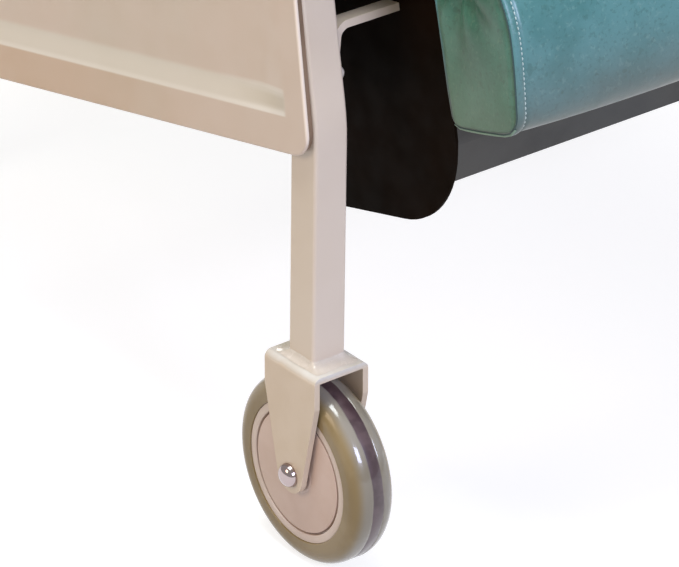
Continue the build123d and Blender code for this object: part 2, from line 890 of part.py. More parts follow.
def legrest_profile(fullness):
    """Leg-rest cushion's side view, its round top end turning about the pivot."""
    half = legrest_thickness / 2
    quarter = half * cos(radians(45))
    end = legrest_length - cushion_draw_in * (1 - fullness)
    with BuildSketch() as outline:
        with BuildLine():
            ThreePointArc((0, half), (-quarter, quarter), (-half, 0))
            ThreePointArc((-half, 0), (-quarter, -quarter), (0, -half))
            bulge((0, -half), (end, -half), legrest_crown * fullness + soft_gap)
            bulge((end, -half), (end, half), cushion_draw_in / 2)
            Line((end, half), (0, half))
        make_face()
        toe = outline.vertices().group_by(Axis.Y)[0].sort_by(Axis.X)[-1]
        fillet(toe, legrest_toe_radius)
        heel = outline.vertices().group_by(Axis.Y)[-1].sort_by(Axis.X)[-1]
        fillet(heel, legrest_heel_radius)
    return outline.sketch


legrest_rear = legrest_thickness / 2
legrest_pocket = legrest_rear - legrest_board_thickness
legrest_board = board(
    legrest_plane,
    0,
    legrest_length - legrest_board_end,
    legrest_pocket,
    legrest_board_thickness,
    legrest_board_half_width,
)
keep(legrest_board, "legrest_board")

with BuildPart() as legrest_cushion:
    add(cushion(legrest_plane, legrest_half_width, legrest_profile))
    with BuildSketch(legrest_plane(-legrest_board_half_width - soft_gap)):
        with Locations(((legrest_length - legrest_board_end) / 2, legrest_rear)):
            Rectangle(
                legrest_length - legrest_board_end + 2 * soft_gap, 2 * legrest_board_thickness
            )
    extrude(amount=2 * (legrest_board_half_width + soft_gap), mode=Mode.SUBTRACT)
keep(legrest_cushion.part, "legrest_cushion")

# Linkage. Both cranks swing evenly about the square to the link, so its ends travel alike.
link_square = -90 - body_tilt
legrest_crank_angle = radians(link_square + legrest_swing / 2)
back_crank_angle = radians(link_square + back_swing / 2)
legrest_crank_spot = (
    legrest_pivot_y + legrest_crank * cos(legrest_crank_angle),
    legrest_pivot_z + legrest_crank * sin(legrest_crank_angle),
)
back_crank_spot = (
    back_pivot_y + back_crank * cos(back_crank_angle),
    back_pivot_z + back_crank * sin(back_crank_angle),
)
pin_hole = pin_radius + running_clearance
crank_hole = crank_pin_radius + running_clearance


def seen_from(plane, spot):
    """A side-view place in the coordinates of a tilted side plane."""
    local = plane.to_local_coords(place(plane.origin.X, *spot))
    return (local.X, local.Y)


with BuildPart() as legrest_arms:
    arm_plane = legrest_plane(-legrest_arm_x)
    arm_crank = seen_from(arm_plane, legrest_crank_spot)
    arm_root = (legrest_arm_length, 0)
    add(
        plate_hull(
            arm_plane,
            [((0, 0), plate_round), (arm_crank, crank_end_radius), (arm_root, plate_round)],
            plate,
            [((0, 0), pin_hole), (arm_crank, crank_hole)],
        )
    )
    mirror(about=Plane.YZ)
keep(legrest_arms.part, "legrest_arms")

with BuildPart() as legrest_brackets:
    leg_spots = [(leg_y(z), z) for z in (legrest_pivot_z - plate_round, legrest_pivot_z + tube_side)]
    add(
        plate_hull(
            side_plane(-frame_inner_x),
            [((legrest_pivot_y, legrest_pivot_z), plate_round)]
            + [(spot, tube_half) for spot in leg_spots],
            plate,
            [((legrest_pivot_y, legrest_pivot_z), pin_hole)],
        )
    )
    mirror(about=Plane.YZ)
keep(legrest_brackets.part, "legrest_brackets")


def pins(specs):
    """Round pins on the right and left, each (place, radius, inner x, outer x)."""
    with BuildPart() as group:
        for spot, radius, inner, outer in specs:
            with BuildSketch(side_plane(-inner)):
                with Locations(spot):
                    Circle(radius)
            extrude(amount=inner - outer)
        mirror(about=Plane.YZ)
    return group.part


legrest_pivot = (legrest_pivot_y, legrest_pivot_z)
back_pivot = (back_pivot_y, back_pivot_z)
pin_head_x = frame_inner_x + soft_gap
legrest_pins = pins(
    [
        (legrest_pivot, pin_radius, legrest_arm_x - plate, pin_head_x + pin_head),
        (legrest_pivot, pin_head_radius, pin_head_x, pin_head_x + pin_head),
        (legrest_crank_spot, crank_pin_radius, legrest_arm_x - plate, link_outer_x + soft_gap),
    ]
)
keep(legrest_pins, "legrest_pins")

with BuildPart() as back_hinge_plates:
    hinge_plane = back_plane(-back_plate_x)
    hinge_crank = seen_from(hinge_plane, back_crank_spot)
    tube_spots = [(back_cross_place, back_tube_line), (back_start + tube_half, back_tube_line)]
    add(
        plate_hull(
            hinge_plane,
            [((0, 0), plate_round), (hinge_crank, crank_end_radius)]
            + [(spot, tube_half) for spot in tube_spots],
            plate,
            [((0, 0), pin_hole), (hinge_crank, crank_hole)],
        )
    )
    mirror(about=Plane.YZ)
keep(back_hinge_plates.part, "back_hinge_plates")

with BuildPart() as back_brackets:
    upright_spots = [(rear_leg_y(z), z) for z in (back_pivot_z - tube_side, back_pivot_z + tube_side)]
    add(
        plate_hull(
            side_plane(-frame_inner_x),
            [(back_pivot, plate_round)] + [(spot, tube_half) for spot in upright_spots],
            plate,
            [(back_pivot, pin_hole)],
        )
    )
    mirror(about=Plane.YZ)
keep(back_brackets.part, "back_brackets")

back_pins = pins(
    [
        (back_pivot, pin_radius, back_plate_x - plate, pin_head_x + pin_head),
        (back_pivot, pin_head_radius, pin_head_x, pin_head_x + pin_head),
        (back_pivot, pin_head_radius, back_plate_x, pivot_plate_x - soft_gap),
        (back_crank_spot, crank_pin_radius, back_plate_x - plate, link_outer_x + soft_gap),
    ]
)
keep(back_pins, "back_pins")

with BuildPart() as sync_links:
    add(
        plate_hull(
            side_plane(-link_outer_x),
            [(legrest_crank_spot, link_half_height), (back_crank_spot, link_open_radius)],
            link_thickness,
            [
                (legrest_crank_spot, crank_hole),
                (back_crank_spot, crank_pin_radius + open_pivot_gap),
            ],
        )
    )
    mirror(about=Plane.YZ)
keep(sync_links.part, "sync_links")

# Front cover under the seat: a bent front sheet between two cheeks
cover_slope = tan(radians(cover_bottom_slope))
cover_toe_z = cover_bottom_z - (cover_front_y - cover_bottom_y) * cover_slope
cover_heel_z = cover_bottom_z - (cover_rear_y - cover_bottom_y) * cover_slope
cover_head_y = cover_front_y + (cover_top_z - cover_lean_z) * tan(radians(cover_front_lean))
cover_front_outline = [
    (cover_head_y, cover_top_z),
    (cover_front_y, cover_lean_z),
    (cover_front_y, cover_toe_z),
    (cover_rear_y, cover_heel_z),
]

with BuildPart() as cover_cheeks:
    with BuildSketch(side_plane(-cover_half_width)) as cheek:
        with BuildLine():
            Polyline(
                *cover_front_outline,
                (cover_rear_y, cover_rear_z),
                (cover_top_step_y, cover_rear_z),
                (cover_top_step_y, cover_top_z),
                close=True,
            )
        make_face()
        fillet(cheek.vertices().sort_by(Axis.Y)[0], cover_rear_radius)
        front_corners = cheek.vertices().group_by(Axis.X)[0]
        fillet(front_corners.sort_by(Axis.Y)[0], cover_corner_radius)
    extrude(amount=cover_sheet)
    mirror(about=Plane.YZ)
keep(cover_cheeks.part, "cover_cheeks")

half_sheet = cover_sheet / 2
with BuildPart() as front_cover:
    inner_x = cover_half_width - cover_sheet
    with BuildSketch(side_plane(-inner_x)):
        with BuildLine():
            FilletPolyline(
                (cover_head_y + half_sheet, cover_top_z),
                (cover_front_y + half_sheet, cover_lean_z),
                (cover_front_y + half_sheet, cover_sheet_foot_z),
                radius=cover_sheet_bend,
            )
        trace(line_width=cover_sheet)
    extrude(amount=2 * inner_x)
keep(front_cover.part, "front_cover")

with BuildPart() as cover_brackets:
    lean = radians(leg_lean)
    forward = Vector(0, -cos(lean), sin(lean))
    bar_top = place(0, leg_y(bracket_bar_top), bracket_bar_top)
    origin = bar_top + forward * (tube_half - bracket_bar_back)
    with BuildSketch(Plane(origin=origin, x_dir=(1, 0, 0), z_dir=forward)):
        with BuildLine():
            FilletPolyline(
                (half_plate - frame_inner_x, (bracket_bar_foot - bracket_bar_top) / cos(lean)),
                (half_plate - frame_inner_x, -half_plate),
                (-cover_half_width, -half_plate),
                radius=bracket_bar_bend,
            )
        trace(line_width=plate)
    extrude(amount=-bracket_bar_width)
    mirror(about=Plane.YZ)
keep(cover_brackets.part, "cover_brackets")

# Gas spring: the rod turns on the frame, the body slides on it and pushes the back's lug
anchor = (anchor_y, anchor_z)
lug_pin = on_back(0, spring_lug_below, -spring_lug_behind)
lug_spot = (lug_pin.Y - front_axle_y, lug_pin.Z)
spring_reach = Vector(0, lug_spot[0] - anchor_y, lug_spot[1] - anchor_z)
spring_line = spring_reach.normalized()
spring_span = spring_reach.length
lug_inner_x = spring_eye_width / 2 + lug_gap


def spring_plane(x):
    """Side view along the gas spring, from its pin on the frame."""
    return Plane(origin=place(x, *anchor), x_dir=spring_line, z_dir=(1, 0, 0))


def round_along(start, end, radius, bore=0.0):
    """Round bar or tube along the gas spring."""
    origin = place(0, *anchor) + spring_line * start
    with BuildPart() as bar:
        with BuildSketch(Plane(origin=origin, x_dir=(1, 0, 0), z_dir=spring_line)):
            Circle(radius)
            if bore:
                Circle(bore, mode=Mode.SUBTRACT)
        extrude(amount=end - start)
    return bar.part


def eye(spot, hole):
    """Flat ring at an end of the gas spring."""
    with BuildPart() as ring:
        with BuildSketch(spring_plane(-spring_eye_width / 2)):
            with Locations(spot):
                Circle(spring_eye_radius)
                Circle(hole, mode=Mode.SUBTRACT)
        extrude(amount=spring_eye_width)
    return ring.part


rod_eye_root = crank_hole + eye_wall
with BuildPart() as spring_rod:
    add(round_along(rod_eye_root, spring_rod_length, spring_rod_radius))
    with BuildSketch(spring_plane(-release_head_width / 2)):
        with Locations((spring_eye_radius + release_head_length / 2, 0)):
            Rectangle(release_head_length, release_head_width)
    extrude(amount=release_head_width)
    add(eye((0, 0), crank_hole))
    piston = spring_body_radius - spring_body_wall - running_clearance
    add(round_along(spring_rod_length - spring_piston_length, spring_rod_length, piston))
keep(spring_rod.part, "spring_rod")

body_end = spring_span - spring_body_gap
with BuildPart() as spring_body:
    add(
        round_along(
            spring_body_start, body_end, spring_body_radius, spring_body_radius - spring_body_wall
        )
    )
    gland_end = spring_body_start + spring_piston_length
    add(
        round_along(
            spring_body_start, gland_end, spring_body_radius, spring_rod_radius + running_clearance
        )
    )
    add(round_along(body_end - spring_body_wall, body_end, spring_body_radius))
    eye_root = spring_span - crank_pin_radius - spring_eye_gap - eye_wall
    add(round_along(body_end - spring_body_wall, eye_root, spring_rod_radius))
    add(eye((spring_span, 0), crank_pin_radius + spring_eye_gap))
keep(spring_body.part, "spring_body")


def lug(plane, root, tip):
    """Two plates and a pin that hold an end of the gas spring."""
    with BuildPart() as clevis:
        for x in (lug_inner_x, -lug_inner_x - lug_plate):
            level = Plane(
                origin=plane.origin + Vector(x, 0, 0), x_dir=plane.x_dir, z_dir=plane.z_dir
            )
            add(plate_hull(level, [(root, lug_root_radius), (tip, lug_tip_radius)], lug_plate))
        with BuildSketch(plane):
            with Locations(tip):
                Circle(crank_pin_radius)
        extrude(amount=lug_inner_x + lug_plate, both=True)
    return clevis.part


with BuildPart() as spring_anchor:
    add(lug(side_plane(0), (anchor_tube_y, rail_z(anchor_tube_y)), anchor))
    add(cross_tubes.part, mode=Mode.SUBTRACT)
keep(spring_anchor.part, "spring_anchor")

with BuildPart() as back_lug:
    add(lug(back_plane(0), (back_cross_place, back_tube_line), (spring_lug_below, -spring_lug_behind)))
    add(back_cross_tube, mode=Mode.SUBTRACT)
keep(back_lug.part, "back_lug")

# Release lever under the left arm
lever_pivot = (lever_pivot_y, arm_z(lever_pivot_y) - lever_drop)
lever_inner_x = frame_inner_x - lever_collar - lever_plate
lever_view = Plane(
    origin=place(lever_inner_x, *lever_pivot),
    x_dir=(0, -cos(radians(lever_slope)), -sin(radians(lever_slope))),
    z_dir=(1, 0, 0),
)
with BuildPart() as release_lever:
    add(
        plate_hull(
            lever_view,
            [((0, 0), lever_pivot_radius), ((lever_length, 0), lever_half_height)],
            lever_plate,
            [((0, 0), lever_pin_radius + running_clearance)],
        )
    )
keep(release_lever.part, "release_lever")

with BuildPart() as release_grip:
    with BuildSketch(lever_view.offset(-grip_wall)):
        with Locations((lever_length + grip_wall - grip_length / 2, 0)):
            pull = Rectangle(grip_length, 2 * grip_radius)
        fillet(pull.vertices(), grip_end_round)
    extrude(amount=lever_plate + 2 * grip_wall)
    rims = release_grip.faces().filter_by(Axis.X)
    fillet(rims.edges(), grip_edge_round)
    add(release_lever.part, mode=Mode.SUBTRACT)
keep(release_grip.part, "release_grip")

with BuildPart() as lever_pin:
    for radius, start, end in (
        (lever_collar_radius, lever_inner_x + lever_plate, frame_inner_x),
        (lever_pin_radius, lever_inner_x - grip_wall, lever_inner_x + lever_plate),
        (lever_collar_radius, lever_inner_x - grip_wall, lever_inner_x - soft_gap),
    ):
        with BuildSketch(side_plane(start)):
            with Locations(lever_pivot):
                Circle(radius)
        extrude(amount=end - start)
keep(lever_pin.part, "lever_pin")
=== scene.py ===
import json
from math import atan2, copysign, cos, exp, pi, radians, sin, sqrt, tan
from types import SimpleNamespace

import bmesh
import bpy
from mathutils import Matrix, Vector
from mathutils.bvhtree import BVHTree


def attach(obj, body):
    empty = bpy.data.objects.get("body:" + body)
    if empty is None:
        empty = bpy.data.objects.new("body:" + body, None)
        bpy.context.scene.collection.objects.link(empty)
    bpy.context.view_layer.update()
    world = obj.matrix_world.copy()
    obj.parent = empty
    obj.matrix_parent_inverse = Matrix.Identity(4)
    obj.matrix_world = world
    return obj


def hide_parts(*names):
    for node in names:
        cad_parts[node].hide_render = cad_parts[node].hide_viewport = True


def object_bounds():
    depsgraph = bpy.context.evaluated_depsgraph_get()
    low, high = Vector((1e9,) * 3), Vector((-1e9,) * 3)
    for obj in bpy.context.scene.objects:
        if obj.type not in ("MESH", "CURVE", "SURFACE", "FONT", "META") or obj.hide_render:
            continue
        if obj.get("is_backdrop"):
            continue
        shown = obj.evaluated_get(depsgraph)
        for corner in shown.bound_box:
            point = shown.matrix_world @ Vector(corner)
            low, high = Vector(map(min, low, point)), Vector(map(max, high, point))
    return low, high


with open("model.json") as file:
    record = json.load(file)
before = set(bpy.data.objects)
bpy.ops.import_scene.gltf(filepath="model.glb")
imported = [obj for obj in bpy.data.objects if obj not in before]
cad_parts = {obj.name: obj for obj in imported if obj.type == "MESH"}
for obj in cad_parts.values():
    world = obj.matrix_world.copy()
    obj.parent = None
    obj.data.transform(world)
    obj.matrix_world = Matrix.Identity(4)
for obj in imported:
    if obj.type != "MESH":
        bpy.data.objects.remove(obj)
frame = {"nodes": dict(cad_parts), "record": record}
cad_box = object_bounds()
nodes = frame["nodes"]
scene = bpy.context.scene

# Everything is in metres in the CAD frame, where +Y is the rear, +Z is up and the sitter's
# right is -X, except the values and outlines that are said to be in millimetres.
MM = 0.001
AXLE_Y = -0.3549  # front axle
AXLE_Z = 0.0635
WHEEL_X = 0.305  # middle plane of each side frame
REAR_WHEEL = 0.628  # front axle to the rear wheels' axles
SIDES = (("right", -1), ("left", 1))

# The side frame in millimetres and degrees: places are (y, z), with y from the front axle
TUBE_HALF = 12.7
FORK_TOP = 142.0
LEG_BEND_Z = 305.0
LEG_FOOT_LEAN, LEG_LEAN = -1.0, 9.5  # below and above the bend
CASTER_Y, REAR_LEG_FOOT_Z, REAR_LEG_LEAN = 590.0, 156.0, -6.9
ARM_FRONT_Z, ARM_SLOPE = 700.0, 6.0
BODY_TILT = 12.4  # slope of the seat and of the panels' lower edge


def slope(degrees):
    return tan(radians(degrees))


LEG_TOP_Y = (LEG_BEND_Z - FORK_TOP) * slope(LEG_FOOT_LEAN)
LEG_TOP_Y += (ARM_FRONT_Z - LEG_BEND_Z) * slope(LEG_LEAN)
ARM_RISE = TUBE_HALF / cos(radians(ARM_SLOPE))  # from the rail's middle to its top


def arm_z(y):
    """Height of the arm rail's middle."""
    return ARM_FRONT_Z - (y - LEG_TOP_Y) * slope(ARM_SLOPE)


def linked(name, data):
    """A new object in the scene."""
    obj = bpy.data.objects.new(name, data)
    scene.collection.objects.link(obj)
    return obj


def assign(target, **values):
    for key, value in values.items():
        setattr(target, key, value)
    return target


def srgb(r, g, b):
    def one(c):
        c /= 255
        return c / 12.92 if c <= 0.04045 else ((c + 0.055) / 1.055) ** 2.4

    return (one(r), one(g), one(b), 1.0)


# ---- node helpers
class Graph:
    """Short ways to build a node tree.

    An input is a value, another node's output, or an sRGB tone as three numbers up to 255."""

    def __init__(self, owner):
        owner.use_nodes = True
        self.tree = owner.node_tree

    def feed(self, socket, value):
        if isinstance(value, bpy.types.NodeSocket):
            self.tree.links.new(value, socket)
        elif socket.type == "RGBA" and len(value) == 3:
            socket.default_value = srgb(*value)
        else:
            socket.default_value = value

    def node(self, kind, inputs=None, **props):
        made = assign(self.tree.nodes.new(kind), **props)
        for key, value in (inputs or {}).items():
            self.feed(made.inputs[key], value)
        return made

    def math(self, kind, *values):
        return self.node("ShaderNodeMath", dict(enumerate(values)), operation=kind).outputs[0]


class Mat(Graph):
    """A Principled material. Its coordinates are the CAD frame's, in metres."""

    def __init__(self, name, **inputs):
        self.mat = bpy.data.materials.new(name)
        super().__init__(self.mat)
        self.bsdf = self.tree.nodes["Principled BSDF"]
        for key, value in inputs.items():
            self.feed(self.bsdf.inputs[key.replace("_", " ")], value)
        self.coords = self.node("ShaderNodeTexCoord").outputs["Object"]

    def axis(self, index):
        return self.node("ShaderNodeSeparateXYZ", {0: self.coords}).outputs[index]

    def noise(self, scale, detail=3.0, rough=0.5, stretch=None):
        where = self.coords
        if stretch:
            where = self.node("ShaderNodeMapping", {"Scale": stretch, "Vector": where}).outputs[0]
        inputs = {"Scale": scale, "Detail": detail, "Roughness": rough, "Vector": where}
        return self.node("ShaderNodeTexNoise", inputs).outputs["Fac"]

    def cells(self, scale, feature="F1"):
        inputs = {"Scale": scale, "Vector": self.coords}
        return self.node("ShaderNodeTexVoronoi", inputs, feature=feature).outputs["Distance"]

    def span(self, value, low, high, to_low=0.0, to_high=1.0):
        """A smooth step of the value's range low to high onto to_low to to_high."""
        inputs = {"Value": value, "From Min": low, "From Max": high}
        inputs |= {"To Min": to_low, "To Max": to_high}
        made = self.node("ShaderNodeMapRange", inputs, interpolation_type="SMOOTHSTEP")
        return made.outputs["Result"]

    def cloud(self, scale, detail, low=0.0, high=1.0):
        """Soft noise between two values."""
        return self.span(self.noise(scale, detail), 0.3, 0.7, low, high)

    def mix(self, share, a, b):
        return self.node("ShaderNodeMix", {0: share, 6: a, 7: b}, data_type="RGBA").outputs[2]

    def finish(self, colour, rough, *bumps):
        """Gives the material its colour, roughness and bumps of height, distance and strength."""
        self.feed(self.bsdf.inputs["Base Color"], colour)
        self.feed(self.bsdf.inputs["Roughness"], rough)
        normal = self.bsdf.inputs["Normal"]
        for height, distance, strength in bumps:
            inputs = {"Distance": distance, "Strength": strength, "Height": height}
            if normal.is_linked:
                inputs["Normal"] = normal.links[0].from_socket
            self.feed(normal, self.node("ShaderNodeBump", inputs).outputs[0])
        return self.mat


# ---- camera and stage
def make_camera():
    """The camera, turned by angles in radians and set back from a spot over the front wheel."""
    azimuth, elevation, roll = 0.665712691, 0.49065811, 0.00365160496
    shift = (0.0145331678, 0.0815665737, 3.37909757)  # right, up and back
    focal_px, picture_width, sensor_width = 5399.46645, 679, 36
    data = bpy.data.cameras.new("camera")
    assign(data, sensor_width=sensor_width, lens=focal_px / picture_width * sensor_width)
    assign(data, clip_start=0.1, clip_end=100)
    scene.camera = linked("camera", data)
    turn = Matrix.Rotation(-azimuth, 4, "Z") @ Matrix.Rotation(pi / 2 - elevation, 4, "X")
    turn = turn @ Matrix.Rotation(roll, 4, "Z")
    target = Matrix.Translation((-WHEEL_X, AXLE_Y, 0.1))
    scene.camera.matrix_world = target @ turn @ Matrix.Translation(shift)


def make_floor():
    """A grey floor that glows only for the camera and in reflections, so that it looks white."""
    grey, glow, half = (0.42, 0.42, 0.42, 1), 0.75, 14
    mat = bpy.data.materials.new("floor")
    g = Graph(mat)
    g.tree.nodes.clear()
    path = g.node("ShaderNodeLightPath").outputs
    seen = g.math("MAXIMUM", path["Is Camera Ray"], path["Is Glossy Ray"])
    base = g.node("ShaderNodeBsdfDiffuse", {"Color": grey})
    light = g.node("ShaderNodeEmission", {"Strength": g.math("MULTIPLY", seen, glow)})
    both = g.node("ShaderNodeAddShader", {0: base.outputs[0], 1: light.outputs[0]})
    g.node("ShaderNodeOutputMaterial", {"Surface": both.outputs[0]})
    mesh = bpy.data.meshes.new("floor")
    corners = [(x, y, 0) for x, y in box_outline(half, half)]
    mesh.from_pydata(corners, [], [(0, 1, 2, 3)])
    mesh.materials.append(mat)
    floor = linked("floor", mesh)
    floor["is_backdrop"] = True


def make_world():
    """Soft warm light all round, seen by the camera as white and by reflections as partly so."""
    glossy_share = 0.3
    scene.world = bpy.data.worlds.new("studio")
    g = Graph(scene.world)
    g.tree.nodes.clear()
    soft = g.node("ShaderNodeBackground", {"Color": (1.0, 0.96, 0.92, 1), "Strength": 0.36})
    white = g.node("ShaderNodeBackground", {"Color": (0.9, 0.9, 0.9, 1)})
    path = g.node("ShaderNodeLightPath").outputs
    glossy = g.math("MULTIPLY", path["Is Glossy Ray"], glossy_share)
    seen = g.math("MAXIMUM", path["Is Camera Ray"], glossy)
    mixed = g.node("ShaderNodeMixShader", {0: seen, 1: soft.outputs[0], 2: white.outputs[0]})
    g.node("ShaderNodeOutputWorld", {"Surface": mixed.outputs[0]})


def lamp(name, spot, size, power, colour):
    """A soft box that faces the chair."""
    data = bpy.data.lights.new(name, "AREA")
    assign(data, shape="RECTANGLE", size=size[0], size_y=size[1], energy=power, color=colour)
    look = (Vector((0, 0, 0.4)) - Vector(spot)).to_track_quat("-Z", "Y")
    linked(name, data).matrix_world = Matrix.Translation(spot) @ look.to_matrix().to_4x4()


def make_lights():
    lamp("key", (-0.7, -3.8, 2.0), (1.5, 1.2), 121, (0.65, 0.70, 1.0))
    lamp("warm", (-3.3, 0.1, 2.1), (1.4, 1.4), 36, (1.0, 0.8, 0.6))
    lamp("top", (-0.6, -0.2, 4.2), (2.0, 2.0), 170, (0.93, 0.99, 0.98))
    lamp("rear", (1.8, 3.6, 2.4), (1.6, 1.4), 46, (1.0, 0.98, 0.96))


# ---- materials
FINE_GRAIN = (900, 2, 0.00008, 0.5)


def plain(name, tones, mottle=None, rough=0.5, grain=None, **inputs):
    """One tone, or two in clouds of mottle's scale and detail. Roughness is a value, or clouds'
    scale, detail and two values; grain is a bump's scale, detail, distance and strength."""
    m = Mat(name, **inputs)
    colour = m.mix(m.cloud(*mottle), *tones) if mottle else tones
    bumps = [(m.noise(*grain[:2]), *grain[2:])] if grain else []
    return m.finish(colour, m.cloud(*rough) if isinstance(rough, tuple) else rough, *bumps)


def black(name, rough):
    return plain(name, (26, 26, 27), None, (80, 3, rough - 0.05, rough + 0.08), FINE_GRAIN)


def thread(name, tone):
    return plain(name, tone, None, (900, 2, 0.42, 0.6), (2500, 2, 0.00008, 0.6))


def fork_material():
    """Leg paint, glossier on the fork's top, whose paler tone there is a painted highlight."""
    highlight_from, highlight_to, wander = 0.1385, 0.1433, 0.003
    m = Mat("fork_paint")
    cloud = m.cloud(40, 4)
    height = m.math("ADD", m.axis(2), m.math("MULTIPLY", m.noise(90), wander))
    side = m.mix(cloud, (198, 178, 153), (203, 184, 161))
    # painted highlight: the fork's top is paler, as if lit from above
    top = m.mix(cloud, (199, 191, 178), (208, 203, 194))
    share = m.span(height, highlight_from, highlight_to)
    rough = m.span(share, 0.0, 1.0, 0.32, 0.18)
    return m.finish(m.mix(share, side, top), rough, (m.noise(200), 0.0003, 0.3))


def panel_frame():
    """Corners of the side panel in side-view millimetres, from the front's foot round the rear."""
    front, foot, front_lean = -16.6, 290.3, 8.0
    slope_z, length, heel_y = 291.1, 626.0, 605.7  # lower edge
    past_leg, below_rail = 18.7, 0.3
    rear_y = CASTER_Y + (arm_z(CASTER_Y) - REAR_LEG_FOOT_Z) * slope(REAR_LEG_LEAN) + past_leg
    front_y = front + (ARM_FRONT_Z - slope_z) * slope(front_lean)
    return [
        Vector((front, foot)),
        Vector((heel_y, slope_z - length * slope(BODY_TILT))),
        Vector((rear_y, arm_z(rear_y) + ARM_RISE - below_rail)),
        Vector((front_y, arm_z(front_y) + ARM_RISE - below_rail)),
    ]


def edge_reach(m, a, b):
    """Distance inward from a panel's edge, in metres, as a node value."""
    way = (b - a).normalized()
    inputs = {0: m.coords, 1: (0, -way.y, way.x)}
    dot = m.node("ShaderNodeVectorMath", inputs, operation="DOT_PRODUCT")
    start = -way.y * (AXLE_Y + a.x * MM) + way.x * a.y * MM
    return m.math("SUBTRACT", dot.outputs["Value"], start)


def panel_material():
    """A lower border in painted shade, a ledge in painted light and a field, which meet softly at
    the front.
    """
    m = Mat("panel")
    corners = panel_frame()
    low = edge_reach(m, corners[0], corners[1])
    front = edge_reach(m, corners[3], corners[0])
    inside = m.span(front, 0.0185, 0.0225)
    near = m.span(front, 0.02, 0.12, 1.0, 0.0)
    cloud = m.cloud(5, 4)

    def stripe(start, full, fade, end, share):
        rise, fall = m.span(low, start, full), m.span(low, fade, end, 1.0, 0.0)
        both = m.math("MULTIPLY", m.math("MULTIPLY", rise, fall), inside)
        return m.math("MULTIPLY", both, share)

    # strengths of the painted highlights and the painted shade below, stronger near the front
    glint = m.math("MULTIPLY", near, 0.7)
    wedge = m.math("MULTIPLY", m.span(front, 0.02, 0.085, 1.0, 0.0), 0.75)
    crease_highlight = m.math("ADD", m.math("MULTIPLY", near, 0.45), 0.4)
    stripes = [  # distances from the lower edge, strength, tone
        (0.0246, 0.0256, 0.0385, 0.0425, 0.8, (202, 194, 179)),  # ledge, paler as painted light from above
        (0.0385, 0.0400, 0.0412, 0.0430, glint, (212, 203, 190)),  # painted highlight on the ledge's upper edge
        (0.0275, 0.0310, 0.0350, 0.0385, wedge, (184, 171, 150)),  # shade on the ledge
        (0.0240, 0.0252, 0.0262, 0.0290, crease_highlight, (222, 214, 202)),  # painted highlight on the ledge's lower edge
    ]
    tone = m.mix(cloud, (192, 178, 158), (201, 181, 163))
    for *reach, share, stripe_tone in stripes:
        tone = m.mix(stripe(*reach, share), tone, stripe_tone)
    # painted shade: the lower border is darker and warmer, and fades out towards the front
    border = m.span(low, 0.0240, 0.0256, 1.0, 0.0)
    border = m.math("MULTIPLY", border, m.span(front, 0.02, 0.3))
    tone = m.mix(border, tone, m.mix(cloud, (188, 162, 134), (194, 167, 141)))
    # painted highlight: a paler tone along the rounded front rim
    rim = m.span(front, 0.0004, 0.0024, 1.0, 0.0)
    tone = m.mix(rim, tone, (224, 208, 189))
    return m.finish(tone, m.cloud(45, 3, 0.34, 0.48), (m.noise(1500, 2), 0.00005, 0.5))


def hub_material():
    """Moulded hub, paler outside its groove as painted light."""
    groove_inner, groove_outer = 0.0412, 0.0420
    m = Mat("hub")
    cloud = m.cloud(40, 3)
    middle = m.math("SUBTRACT", m.axis(1), AXLE_Y + REAR_WHEEL / 2)
    along = m.math("SUBTRACT", m.math("ABSOLUTE", middle), REAR_WHEEL / 2)
    height = m.math("SUBTRACT", m.axis(2), AXLE_Z)
    squares = [m.math("POWER", value, 2.0) for value in (along, height)]
    radius = m.math("SQRT", m.math("ADD", *squares))
    inner = m.mix(cloud, (191, 164, 147), (199, 174, 159))
    outer = m.mix(cloud, (197, 177, 163), (204, 186, 173))
    tone = m.mix(m.span(radius, groove_inner, groove_outer), inner, outer)
    return m.finish(tone, 0.38, (m.noise(1200, 2), 0.00004, 0.4))


def tyre_material():
    """Olive flanks, a paler crown, and a dull worn band round its middle."""
    band_from, band_to, wander = 0.0044, 0.0054, 0.0016
    crown_to, flank_from = 0.0085, 0.0145
    m = Mat("tyre", Coat_Roughness=0.05, Specular_IOR_Level=0.3)
    side = m.math("ABSOLUTE", m.math("SUBTRACT", m.math("ABSOLUTE", m.axis(0)), WHEEL_X))
    wavy = m.math("ADD", side, m.math("MULTIPLY", m.noise(60, 2), wander))
    band = m.span(wavy, band_from, band_to, 1.0, 0.0)
    cloud = m.span(m.noise(22, 4), 0.38, 0.62)
    flank = m.mix(cloud, (125, 105, 67), (139, 120, 85))
    crown = m.mix(cloud, (123, 114, 97), (141, 134, 121))
    outer = m.span(side, crown_to, flank_from)
    m.feed(m.bsdf.inputs["Coat Weight"], m.span(outer, 0.0, 1.0, 0.7, 0.06))
    worn = m.mix(m.span(m.noise(90, 4), 0.35, 0.65), (66, 49, 52), (86, 68, 70))
    tone = m.mix(band, m.mix(outer, crown, flank), worn)
    return m.finish(tone, m.math("MULTIPLY_ADD", band, 0.2, 0.2), (m.noise(300), 0.00015, 0.3))


def zinc_material():
    m = Mat("zinc", Metallic=1.0)
    tone = m.mix(m.span(m.cells(220), 0.1, 0.7), (166, 167, 166), (190, 189, 184))
    return m.finish(tone, m.cloud(180, 3, 0.26, 0.42))


